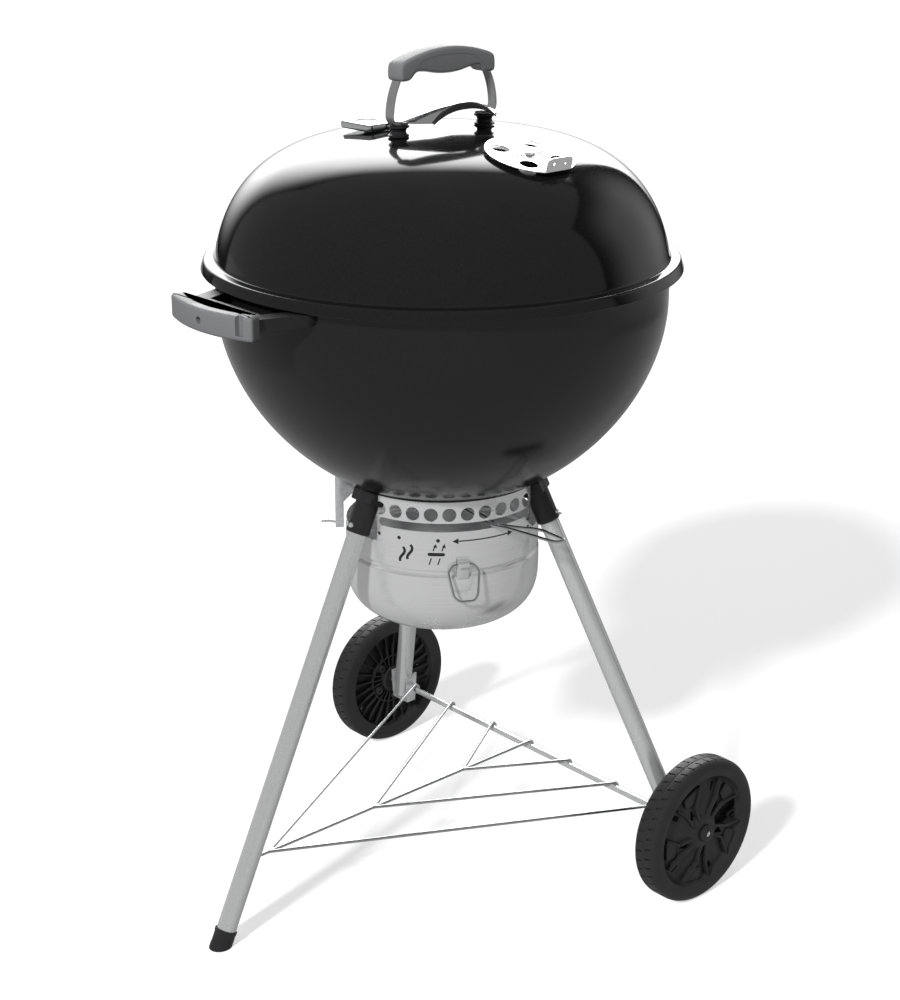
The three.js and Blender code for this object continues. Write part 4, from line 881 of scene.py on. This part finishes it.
class Leg:
    """Where one leg runs: its foot, its direction, its top and the way its button faces."""

    def __init__(self, azimuth, foot):
        self.foot = foot
        knee = polar(165, azimuth, LEG_KNEE)
        self.up = (knee - foot).normalized()
        self.top = foot + self.up * (LEG_TOP - foot.z) / self.up.z
        out = polar(1, azimuth)
        self.side = self.up.cross(out).normalized()
        self.face = self.side.cross(self.up).normalized()

    def at(self, z):
        return self.foot + self.up * (z - self.foot.z) / self.up.z


def make_tube(leg, start, end):
    length = (end - start).length
    inner = LEG_RADIUS - 1.6
    place = stand(start, leg.up, leg.side)
    return turned([(inner, 0.6), (inner + 0.5, 0), (LEG_RADIUS - 0.5, 0), (LEG_RADIUS, 0.6), (LEG_RADIUS, length - 0.6),
                   (LEG_RADIUS - 0.5, length), (inner, length)], place, 64, closed=True)


def make_leg_socket(leg):
    sleeve_foot = leg.top - leg.up * 46
    place = stand(sleeve_foot, leg.up, leg.side)
    bore = LEG_RADIUS + 0.35
    sleeve = turned([(bore, 0.8), (bore + 0.4, 0), (SOCKET_RADIUS - 0.6, 0), (SOCKET_RADIUS, 0.8), (SOCKET_RADIUS, 5),
                     (SOCKET_RADIUS - 0.5, 5.8), (SOCKET_RADIUS - 0.3, 10), (SOCKET_RADIUS - 0.1, 50),
                     (SOCKET_RADIUS, 76), (bore, 76)], place, 64, closed=True)
    wide = PAD_WIDTH / 2
    pad_outline = [(p.x, p.y) for p in rounded([
        (-wide, 1 - SOCKET_RADIUS), (wide, 1 - SOCKET_RADIUS), (wide - 4, SOCKET_RADIUS), (4 - wide, SOCKET_RADIUS)], 4, 5)]
    pad = cushion(pad_outline, 16, 2.0, stand(leg.top - leg.up * 6, leg.up, leg.side), 4)
    whole = combined(sleeve, pad, "UNION")
    room = turned([(r, z - 0.3) for r, z in bowl_profile()] + [(BOWL_RADIUS, 900), (0, 900)], steps=96)
    whole = combined(whole, room, "DIFFERENCE")
    button = leg.top - leg.up * 38
    return carved(whole, [rod(button, button + leg.face * 40, 3.8, 32)])


legs = {name: Leg(*where) for name, where in FEET.items()}
for name, leg in legs.items():
    start = leg.at(4.5) if name == "front" else leg.foot - leg.up * 17
    tube = make_tube(leg, start, leg.top)
    button = leg.top - leg.up * 38
    tube = carved(tube, [rod(button, button + leg.face * 40, 3.7, 32)])
    done(tube, "leg_tube_" + name, "kettle", SATIN_STEEL, ["leg_" + name])
    done(make_leg_socket(leg), "leg_sleeve_" + name, "kettle", BLACK_PLASTIC, ["leg_socket_" + name],
         smooth=40)
    done(turned([(0, 4), (3.4, 4), (3.4, SOCKET_RADIUS + 0.5), (2.9, SOCKET_RADIUS + 1.3), (1.6, SOCKET_RADIUS + 1.8),
                 (0, SOCKET_RADIUS + 2)], stand(button, leg.face, leg.up), 32),
         "spring_button_" + name, "button_" + name, SATIN_STEEL, ["leg_button_" + name])


def make_foot():
    leg = legs["front"]
    place = stand(leg.foot, leg.up, leg.side)
    outer = LEG_RADIUS + 1.6
    cap = turned([(0, -20), (outer, -20), (outer, 3), (outer - 0.4, 4), (outer - 0.4, 18), (outer + 0.3, 19.4), (outer + 0.3, 22.6),
                  (outer - 0.5, 23.5), (LEG_RADIUS + 0.3, 23.5), (LEG_RADIUS + 0.3, 8.2), (0, 8.2)], place, 64)
    only(cap)
    bpy.ops.object.mode_set(mode="EDIT")
    bpy.ops.mesh.select_all(action="SELECT")
    bpy.ops.mesh.bisect(plane_co=(0, 0, 0), plane_no=(0, 0, 1), use_fill=True, clear_inner=True)
    bpy.ops.mesh.select_all(action="SELECT")
    bpy.ops.mesh.normals_make_consistent(inside=False)
    bpy.ops.object.mode_set(mode="OBJECT")
    return softened(cap, 0.6, 3, 60)


done(make_foot(), "foot_boot", "kettle", BLACK_PLASTIC, ["foot_cap"])
for name in ("left", "right"):
    done(refined("leg_end_plates_" + name, 0.3), "axle_plates_" + name, "kettle", ZINC,
         ["leg_end_plates_" + name])


# ---------------------------------------------------------------- wheels
WHEEL_RADIUS = 100
WHEEL_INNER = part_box("wheel_left")[0].y / MM
WHEEL_WIDTH = 39.5


def wheel_place(side):
    """The wheel's own frame: its Z runs out along the axle, from the wheel's inner face."""
    return stand((AXLE_X, side * WHEEL_INNER, AXLE_Z), (0, side, 0), (1, 0, 0))


def make_wheel(side):
    place = wheel_place(side)
    rim, w = WHEEL_RADIUS, WHEEL_WIDTH
    body = turned([(p.x, p.y) for p in rounded([
        (4.7, 5), (20, 5), (20, 17), (74, 17), (77, 3), (90, 1.2), (rim - 2.5, 3.5), (rim, 8.5), (rim, 19), (rim - 0.5, 19.6),
        (rim - 0.5, 20.2), (rim, 20.8), (rim, w - 9), (rim - 2.5, w - 4), (rim - 9, w - 0.6), (79, w - 1.6), (75.5, w - 7.5),
        (72, w - 10), (26, w - 6), (20, w - 2), (12.5, w - 0.6), (4.7, w - 0.6)], 2.2, 3)], place, 120, closed=True)
    tools = []
    for i in range(5):
        turn = place @ Matrix.Rotation(FULL_TURN * (i + 0.25) / 5, 4, "Z")
        window = rounded([polar(25, -16), polar(40, -30), polar(71, -23), polar(72.5, 4), polar(54, 9), polar(27, 16)], 3, 3)
        tools.append(plate([(p.x, p.y) for p in window], 60, turn, low=19.5))
        triangle = rounded([polar(27, 28), polar(46, 31), polar(33, 47)], 2.5, 3)
        tools.append(plate([(p.x, p.y) for p in triangle], 60, turn, low=19.5))
        peep = rounded([polar(57, -21), polar(69, -20), polar(69, -14), polar(57, -14)], 1.5, 3)
        tools.append(plate([(p.x, p.y) for p in peep], 60, turn, low=10))
    count = 44
    for i in range(count):
        for row, lean in ((0, 1), (1, 1)):
            turn = Matrix.Rotation(FULL_TURN * (i + 0.5 * row) / count, 4, "Z")
            at = Matrix.Translation(Vector((rim + 1, 0, 12.4 + 15 * row)) * MM)
            tilt = Matrix.Rotation(math.radians(18 * lean), 4, "X")
            tools.append(box((6, 2.3, 9.5), place @ turn @ at @ tilt))
    body = carved(body, tools)
    ribs = []
    for i in range(25):
        turn = Matrix.Rotation(FULL_TURN * i / 25, 4, "Z")
        ribs.append(box((58, 1.3, 9), place @ turn @ Matrix.Translation(Vector((48, 0, 13.2)) * MM)))
    ribs.append(turned([(37, 9), (38.4, 9), (38.4, 18), (37, 18)], place, 96, closed=True))
    for i in range(5):
        turn = place @ Matrix.Rotation(FULL_TURN * (i + 0.25) / 5, 4, "Z")
        for near, far, half in ((polar(12, 4), polar(47, -27), 2.6), (polar(12, 30), polar(45, 23), 2.6),
                                (polar(44, 23), polar(72, 8), 1.6), (polar(46, -27), polar(72, -25), 1.6)):
            off = Vector((far.y - near.y, near.x - far.x, 0)).normalized() * half
            spine = [(p.x, p.y) for p in (near + off, far + off * 0.6, far - off * 0.6, near - off)]
            ribs.append(softened(plate(spine, 7, turn, low=w - 9.5), 0.8, 2))
        blade = rounded([polar(50, 14), polar(71, 10), polar(71.5, 34), polar(56, 38)], 3, 3)
        ribs.append(softened(plate([(p.x, p.y) for p in blade], 5, turn, low=w - 10.5), 1.0, 2))
        at = polar(30, 72 * i + 10)
        boss = place @ Matrix.Translation(at * MM)
        ribs.append(turned([(2, 6), (5.5, 6), (6, 7), (6.6, 18), (2, 18)], boss, 24, closed=True))
    return together([body] + ribs)


for side, name in ((1, "left"), (-1, "right")):
    done(make_wheel(side), "road_wheel_" + name, "wheel_" + name, WHEEL_PLASTIC, ["wheel_" + name])
    out = stand((AXLE_X, side * (WHEEL_INNER + WHEEL_WIDTH + 0.3), AXLE_Z), (0, side, 0), (1, 0, 0))
    done(turned([(4.5, 0), (12, 0), (12.3, 1), (11.6, 3.4), (9.6, 5.2), (6.6, 5.9), (4.5, 6)], out, 48, closed=True),
         "hub_clip_" + name, "kettle", BLACK_PLASTIC, ["hub_cap_" + name])
axle_end = WHEEL_INNER + WHEEL_WIDTH + 5.3
done(softened(rod((AXLE_X, -axle_end, AXLE_Z), (AXLE_X, axle_end, AXLE_Z), 4.3), 0.6, 3), "axle_bar", "kettle",
     SATIN_STEEL, ["axle"])


# ---------------------------------------------------------------- wire shelf
SHELF_WIRE = 2.2


def make_shelf():
    z = AXLE_Z + 4.3 + 0.3 + SHELF_WIRE
    wrap = 4.3 + 0.3 + SHELF_WIRE

    def hook(y):
        return [Vector((AXLE_X + wrap * math.sin(math.radians(turn)), y, AXLE_Z + wrap * math.cos(math.radians(turn))))
                for turn in range(0, 151, 15)]
    leg = legs["front"].at(z)
    front = Vector((leg.x + LEG_RADIUS / legs["front"].up.z + 0.3 + SHELF_WIRE * 2, 0, z))
    wires = [wire([front] + hook(0), SHELF_WIRE)]
    for tip, arm in ((-299, 250), (-123, 168), (39, 78)):
        for side in (-1, 1):
            wires.append(wire([Vector((tip, 0, z))] + hook(side * arm), SHELF_WIRE))
        bpy.ops.object.select_all(action="DESELECT")
        bpy.ops.mesh.primitive_ico_sphere_add(subdivisions=3, radius=2.5 * MM, location=spot(tip, 0, z))
        bpy.ops.object.transform_apply(location=True, rotation=True, scale=True)
        wires.append(bpy.context.object)
    return together(wires)


done(make_shelf(), "shelf_wires", "kettle", PLATED_WIRE, ["wire_shelf"], smooth=60)


# ---------------------------------------------------------------- ash catcher
RING_RADIUS = 128
RING_SHEET = 1.3
RING_TOP = BOWL_FLOOR - 4
RING_MIDDLE = -121
RING_SPAN = 101
SLOT_Z = RING_TOP - 33.5
HOLE_Z = RING_TOP - 16.5


def band(inner, outer, start, end, low, high, steps=90):
    outline = arc(outer, start, end, steps) + arc(inner, end, start, steps)
    return plate(outline, high - low, KETTLE, low=low)


MARK_DEPTH = 0.45


def mark(outline, azimuth, z, depth=8):
    """A cutter for one opening in the band, drawn to the right and up as seen from outside."""
    return plate(outline, depth + 8, radial(azimuth, z, RING_RADIUS - depth))


def shallow(outline, azimuth, z):
    """A cutter for a mark that is pressed into the band and filled dark."""
    sag = RING_RADIUS - math.sqrt(RING_RADIUS ** 2 - max(abs(p[0]) for p in outline) ** 2)
    return mark(outline, azimuth, z, MARK_DEPTH + sag * 0.5)


def shift(outline, x, y):
    return [(p[0] + x, p[1] + y) for p in outline]


def make_ring():
    first, last = RING_MIDDLE - RING_SPAN / 2, RING_MIDDLE + RING_SPAN / 2
    flange = turned([(RING_RADIUS - 40, RING_TOP - RING_SHEET), (RING_RADIUS, RING_TOP - RING_SHEET),
                     (RING_RADIUS, RING_TOP), (RING_RADIUS - 40, RING_TOP)], KETTLE, 180, closed=True)
    wall = band(RING_RADIUS - RING_SHEET, RING_RADIUS, first, last, BOWL_FLOOR - 95, RING_TOP)
    ring = combined(wall, flange, "UNION")
    tools = []
    for i in range(10):
        azimuth = RING_MIDDLE - 1.5 + 10.4 * (i - 4.5)
        tools.append(mark(arc(8.8, 0, 348.75, 31), azimuth, HOLE_Z))
        above = polar(RING_RADIUS - 14, azimuth + 5.2)
        tools.append(plate(arc(6.4, 0, 345, 23, (above.x, above.y)), 8, KETTLE, low=RING_TOP - 4))
    reach = 46.4
    tools.append(band(RING_RADIUS - 8, RING_RADIUS + 8, RING_MIDDLE - reach, RING_MIDDLE + reach, SLOT_Z - 5.7, SLOT_Z + 5.7))
    ring = carved(ring, tools)
    ring = carved(ring, [mark(arc(5.7, 0, 345, 23), RING_MIDDLE + end * reach, SLOT_Z) for end in (-1, 1)])
    marks = [shallow(arc(2.5, 0, 330, 11), azimuth, RING_TOP - 50.5) for azimuth in (-170, -156.7, -134)]
    arrow_z = RING_TOP - 51.5
    marks.append(band(RING_RADIUS - MARK_DEPTH, RING_RADIUS + 8, -122.4, -91.6, arrow_z - 0.9, arrow_z + 0.9))
    marks += [shallow([(-8, 0), (0, 4), (0, -4)], -122.5, arrow_z), shallow([(8, 0), (0, -4), (0, 4)], -91.5, arrow_z)]
    marks += [shallow([(-4, 0), (2.5, 2.6), (2.5, -2.6)], -73, RING_TOP - 44), shallow([(4, 0), (-2.5, -2.6), (-2.5, 2.6)], -73, RING_TOP - 54)]
    low_z = RING_TOP - 70
    marks.append(shallow([(13.5 * math.cos(a), 4.6 * math.sin(a)) for a in [FULL_TURN * i / 32 for i in range(32)]], -165.5, low_z))
    for x in (-5, 5):
        curl = [(x + 3.4 * math.sin(t / 8 * math.pi * 1.6 - 2.2), -10 + 20 * t / 8 + x * 0.4) for t in range(9)]
        marks.append(shallow(strip(curl, 3.6), -152.5, low_z))
    marks.append(shallow(slot_outline(22, 4.6), -135, low_z + 1))
    for x in (-5.5, 5.5):
        marks.append(shallow(shift(strip([(x - 3.6, -13), (x - 0.7, -4)], 1.6), 0, 0), -135, low_z))
        marks.append(shallow(shift(strip([(x + 1.4, 5.5), (x + 3.4, 11)], 1.6), 0, 0), -135, low_z))
        marks.append(shallow([(x + 1.4, 11.2), (x + 6.4, 9.4), (x + 5.2, 15.4)], -135, low_z))
    rooms = marks + [box((17, 40, 30), radial(RING_MIDDLE + 1, BOWL_FLOOR - 97, RING_RADIUS))]
    for leg in legs.values():
        rooms.append(rod(leg.at(RING_TOP - 40), leg.at(RING_TOP + 40), SOCKET_RADIUS + 2.4, 32))
        rooms.append(box((PAD_WIDTH + 4, 2 * SOCKET_RADIUS + 4, 22), stand(leg.top + leg.up * 2, leg.up, leg.side)))
    for room in rooms:
        ring = carved(ring, [room])
    return ring


ring = done(make_ring(), "catcher_ring", "kettle", TURNED_ALUMINIUM, ["ash_catcher_ring"])
ring.data.materials.append(BLACK_PRINT_AND_PAINTED_SHADE)
for face in ring.data.polygons:
    from_axis = (face.center - AXIS).to_2d().length / MM
    flat = abs(face.normal.z) < 0.1 and face.normal.to_2d().dot((face.center - AXIS).to_2d()) > 0
    face.material_index = 1 if flat and RING_RADIUS - 0.75 < from_axis < RING_RADIUS - 0.2 else 0
for end, azimuth in (("front", 145), ("rear", -35)):
    done(refined("catcher_bracket_" + end, 0.4), "ring_bracket_" + end, "kettle", ZINC,
         ["catcher_bracket_" + end])
    out = polar(1, azimuth)
    across = Vector((-out.y, out.x, 0))
    pin = wire(rounded([out * 128.5 + across * -3.4 + UP * 491, out * 141 + across * -3.4 + UP * 491,
                        out * 148 + across * -3.4 + UP * 493, out * 158 + across * -3.4 + UP * 492.4], 4, 4, closed=False), 1.7)
    studs = [turned([(0, 0), (4, 0), (4, 1), (2.6, 2.2), (0, 2.6)], stand(
        out * r + across * -1.7 + UP * z, -across, UP), 24) for r, z in ((134, 545), (126, 549))]
    done(together([pin] + studs), "bracket_pin_" + end, "kettle", SATIN_STEEL)

BUCKET_RADIUS = 127
BUCKET_TOP = RING_TOP - 62
SHOULDER = BUCKET_TOP - 57
BELLY = 81
BELLY_POWER = 2.9


def make_bucket():
    def belly(wall, steps):
        points = []
        depth = BELLY - wall
        for i in range(steps + 1):
            drop = depth * math.cos(math.pi / 2 * i / steps)
            radius = (BUCKET_RADIUS - wall) * max(1 - (drop / depth) ** BELLY_POWER, 0) ** (1 / BELLY_POWER)
            points.append((radius, SHOULDER - drop))
        return points
    outer = BUCKET_RADIUS - 0.6
    wall = rounded([
        (BUCKET_RADIUS, SHOULDER + 3, 0), (BUCKET_RADIUS, SHOULDER + 18, 0), (BUCKET_RADIUS - 3.2, SHOULDER + 20.6, 0),
        (BUCKET_RADIUS - 3.2, SHOULDER + 25, 0), (outer, SHOULDER + 27.5, 0), (outer, BUCKET_TOP - 1, 0),
        (outer - 0.6, BUCKET_TOP, 0), (outer - 1.3, BUCKET_TOP - 1, 0), (outer - 1.3, SHOULDER + 28, 0),
        (BUCKET_RADIUS - 4.4, SHOULDER + 25.5, 0), (BUCKET_RADIUS - 4.4, SHOULDER + 20, 0),
        (BUCKET_RADIUS - 1.2, SHOULDER + 17, 0), (BUCKET_RADIUS - 1.2, SHOULDER + 3, 0)], 1.4, 4, closed=False)
    return turned(belly(0, 44) + [(p.x, p.y) for p in wall] + belly(1.2, 30)[::-1], steps=160)


done(make_bucket(), "ash_pan", "bucket", TURNED_ALUMINIUM, ["ash_bucket"], smooth=40)
done(refined("bail_clip", 0.25), "pan_clip", "bucket", SATIN_STEEL, ["bail_clip"])

bail_azimuth = RING_MIDDLE + 1
BAIL = stand(polar(131.2, bail_azimuth, RING_TOP - 82), (0, 0, 1), polar(1, bail_azimuth))


def make_bail():
    lean = math.radians(14)
    corners = [(4.5, 0), (13, 0), (20, 9), (17, 40), (12, 47), (-7, 47), (-14, 40), (-20, 9), (-13, 0), (-4.5, 0)]
    points = []
    for across, drop in corners:
        place = BAIL @ (Vector((drop * math.sin(lean), across, -drop * math.cos(lean))) * MM)
        points.append((place - AXIS) / MM)
    return wire(rounded(points, 4, 5, closed=False), 1.6)


done(make_bail(), "pan_bail", "bail", PLATED_WIRE, ["bucket_bail"], smooth=60)


def make_lever():
    z = SLOT_Z - 0.5
    azimuth = -101.9
    near = polar(1, azimuth - 90)

    def corner(radius, at, side, half):
        return polar(radius, at, z) + near * side * half
    path = [corner(8.5, azimuth, 1, 4.5), corner(132, azimuth, 1, 4.5), corner(150, -98, 1, 2.6), corner(184, -93.5, 1, 8),
            corner(225, -91.5, 1, 7.5), corner(225, -91.5, -1, 7.5), corner(178, -91, -1, 7), corner(150, -97, -1, 2.6),
            corner(132, azimuth, -1, 4.5), corner(8.5, azimuth, -1, 4.5)]
    loop = wire(rounded(path, 9, 5, closed=False), 2.0)
    hub = turned([(4.8, z - 3), (11, z - 3), (11.5, z - 2.5), (11.5, z + 2.5), (11, z + 3), (4.8, z + 3)], KETTLE, 48, closed=True)
    return together([hub, loop])


done(make_lever(), "lever_loop", "cleaner", PLATED_WIRE, ["cleaning_lever"], smooth=60)


# ---------------------------------------------------------------- inside the kettle
def make_grate(radius, z, wire_radius, pitch):
    bpy.ops.object.select_all(action="DESELECT")
    bpy.ops.mesh.primitive_torus_add(
        major_radius=(radius - wire_radius) * MM, minor_radius=wire_radius * MM, major_segments=96, minor_segments=12,
        location=spot(0, 0, z))
    bpy.ops.object.transform_apply(location=True, rotation=True, scale=True)
    pieces = [bpy.context.object]
    inner = radius - wire_radius
    count = math.floor((inner - pitch / 2) / pitch)
    for i in range(-count, count + 1):
        half = math.sqrt(inner ** 2 - (i * pitch) ** 2)
        pieces.append(rod((-half, i * pitch, z), (half, i * pitch, z), wire_radius, 16))
    for x in (-0.45 * radius, 0.45 * radius):
        half = math.sqrt(inner ** 2 - x ** 2) - 2
        low = z - 1.4 * wire_radius
        pieces.append(rod((x, -half, low), (x, half, low), wire_radius * 0.9, 16))
    return together(pieces)


done(make_grate(270, RIM_Z - 33, 3, 44), "food_grate", "cooking_grate", PLATED_WIRE, ["cooking_grate"], smooth=60)
done(make_grate(208, RIM_Z - 192, 4, 52), "fire_grate", "charcoal_grate", HEATED_STEEL, ["charcoal_grate"], smooth=60)
for node, name, body, finish, slot in (
        ("cleaning_blades", "sweep_blades", "cleaner", HEATED_STEEL, "tube_steel"),
        ("lid_hook", "hanging_hook", "lid", PLATED_WIRE, "plated_wire"),
        ("grate_tab_1", "grate_rest_1", "kettle", SATIN_STEEL, "tube_steel"),
        ("grate_tab_2", "grate_rest_2", "kettle", SATIN_STEEL, "tube_steel"),
        ("grate_tab_3", "grate_rest_3", "kettle", SATIN_STEEL, "tube_steel")):
    done(refined(node, 0.25), name, body, finish, [node])

for node in ("cleaning_shaft", "lid_handle_screw_front", "lid_handle_screw_rear", "side_handle_screw"):
    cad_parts[node].data.materials.clear()
    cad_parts[node].data.materials.append(SATIN_STEEL)


# ---------------------------------------------------------------- floor, lights and camera
def make_floor():
    """A pale floor that stays near white wherever the key light reaches it."""
    bpy.ops.object.select_all(action="DESELECT")
    bpy.ops.mesh.primitive_plane_add(size=80, location=(0, 0, 0))
    floor = bpy.context.object
    floor.name = "studio_floor"
    paint = bpy.data.materials.new("studio floor")
    paint.use_nodes = True
    tree = paint.node_tree
    shader = tree.nodes["Principled BSDF"]
    shader.inputs["Roughness"].default_value = 0.9
    shader.inputs["Specular IOR Level"].default_value = 0.0
    shader.inputs["Emission Color"].default_value = (1, 1, 1, 1)
    seen = tree.nodes.new("ShaderNodeLightPath").outputs["Is Camera Ray"]
    glow = tree.nodes.new("ShaderNodeMapRange")
    glow.inputs["To Min"].default_value = FLOOR_BOUNCE
    glow.inputs["To Max"].default_value = FLOOR_GLOW
    link(tree, seen, glow.inputs["Value"])
    link(tree, glow.outputs["Result"], shader.inputs["Emission Strength"])
    shade = tree.nodes.new("ShaderNodeMapRange")
    shade.inputs["To Min"].default_value = 0.14
    shade.inputs["To Max"].default_value = 0.5
    link(tree, seen, shade.inputs["Value"])
    link(tree, shade.outputs["Result"], shader.inputs["Base Color"])
    floor.data.materials.append(paint)


def light(name, kind, place, aim, energy, size, depth=None):
    data = bpy.data.lights.new(name, kind)
    data.energy = energy
    if kind == "SUN":
        data.angle = math.radians(size)
    else:
        data.shape = "RECTANGLE"
        data.size = size
        data.size_y = depth or size
    lamp = bpy.data.objects.new(name, data)
    bpy.context.scene.collection.objects.link(lamp)
    lamp.location = place
    lamp.rotation_euler = (Vector(aim) - Vector(place)).to_track_quat("-Z", "Y").to_euler()
    lamp.visible_camera = False
    lamp.visible_glossy = False
    return lamp


def reflector(name, direction, distance, size, height, glow):
    """A soft-edged panel that only shows in the object's reflections."""
    bpy.ops.object.select_all(action="DESELECT")
    bpy.ops.mesh.primitive_plane_add(size=1, location=(0, 0, 0))
    panel = bpy.context.object
    panel.name = name
    facing = Vector((direction[0], direction[1], 0)).normalized()
    panel.location = MIDDLE + facing * distance + UP * (height - 0.75)
    panel.rotation_euler = (-facing).to_track_quat("Z", "Y").to_euler()
    panel.scale = (size[0], size[1], 1)
    paint = bpy.data.materials.new(name)
    paint.use_nodes = True
    tree = paint.node_tree
    tree.nodes.remove(tree.nodes["Principled BSDF"])
    where = tree.nodes.new("ShaderNodeTexCoord").outputs["UV"]
    parts = tree.nodes.new("ShaderNodeSeparateXYZ")
    link(tree, where, parts.inputs["Vector"])
    edges = []
    for side in ("X", "Y"):
        middle = tree.nodes.new("ShaderNodeMath")
        middle.operation = "SUBTRACT"
        middle.inputs[1].default_value = 0.5
        link(tree, parts.outputs[side], middle.inputs[0])
        away = tree.nodes.new("ShaderNodeMath")
        away.operation = "ABSOLUTE"
        link(tree, middle.outputs[0], away.inputs[0])
        fade = tree.nodes.new("ShaderNodeMapRange")
        fade.interpolation_type = "SMOOTHSTEP"
        fade.inputs["From Min"].default_value = 0.5
        fade.inputs["From Max"].default_value = 0.12
        link(tree, away.outputs[0], fade.inputs["Value"])
        edges.append(fade.outputs["Result"])
    both = tree.nodes.new("ShaderNodeMath")
    both.operation = "MULTIPLY"
    link(tree, edges[0], both.inputs[0])
    link(tree, edges[1], both.inputs[1])
    strength = tree.nodes.new("ShaderNodeMath")
    strength.operation = "MULTIPLY"
    strength.inputs[1].default_value = glow
    link(tree, both.outputs[0], strength.inputs[0])
    shine = tree.nodes.new("ShaderNodeEmission")
    link(tree, strength.outputs[0], shine.inputs["Strength"])
    link(tree, shine.outputs[0], tree.nodes["Material Output"].inputs["Surface"])
    panel.data.materials.append(paint)
    panel.visible_camera = False
    panel.visible_diffuse = False
    panel.visible_shadow = False
    panel.visible_transmission = False


FLOOR_GLOW = 0.535
FLOOR_BOUNCE = 0.2
MIDDLE = AXIS + Vector((0, 0, 0.75))
make_floor()
light("key", "SUN", MIDDLE + Vector((-8.5, -2.7, 6.0)), MIDDLE, 4.4, 6)
light("back panel", "AREA", MIDDLE + Vector((2.6, 2.95, 1.5)), MIDDLE + Vector((0, 0, 0.2)), 50, 4.6, 1.9)
light("overhead", "AREA", MIDDLE + Vector((0.4, 0.5, 3.4)), MIDDLE, 30, 2.4)
light("front fill", "AREA", MIDDLE + Vector((-2.2, -2.9, 1.0)), MIDDLE, 20, 2.0)
reflector("back reflector", (0.665, 0.747), 3.4, (7.6, 5.2), 2.9, 6.0)
reflector("side reflector", (0.98, -0.2), 3.0, (4.4, 4.4), 1.6, 0.6)

world = bpy.data.worlds.new("studio")
world.use_nodes = True
surround = world.node_tree.nodes["Background"].inputs
seen = world.node_tree.nodes.new("ShaderNodeLightPath").outputs["Is Camera Ray"]
wash = world.node_tree.nodes.new("ShaderNodeMapRange")
wash.inputs["To Min"].default_value = 0.23
wash.inputs["To Max"].default_value = 1.0
link(world.node_tree, seen, wash.inputs["Value"])
link(world.node_tree, wash.outputs["Result"], surround["Color"])
surround["Strength"].default_value = 1.0
bpy.context.scene.world = world
bpy.context.scene.view_settings.view_transform = "Standard"

camera_data = bpy.data.cameras.new("camera")
camera_data.lens = 69.88
camera_data.sensor_width = 36
camera_data.shift_x = 0.0078
camera_data.shift_y = 0.0386
camera_data.clip_end = 200
camera = bpy.data.objects.new("camera", camera_data)
bpy.context.scene.collection.objects.link(camera)
camera.location = (AXIS.x - 1.5859, -1.7812, 1.3857)
camera.rotation_euler = (math.radians(68.83), 0, math.radians(-41.68))
bpy.context.scene.camera = camera

bpy.ops.object.select_all(action="DESELECT")
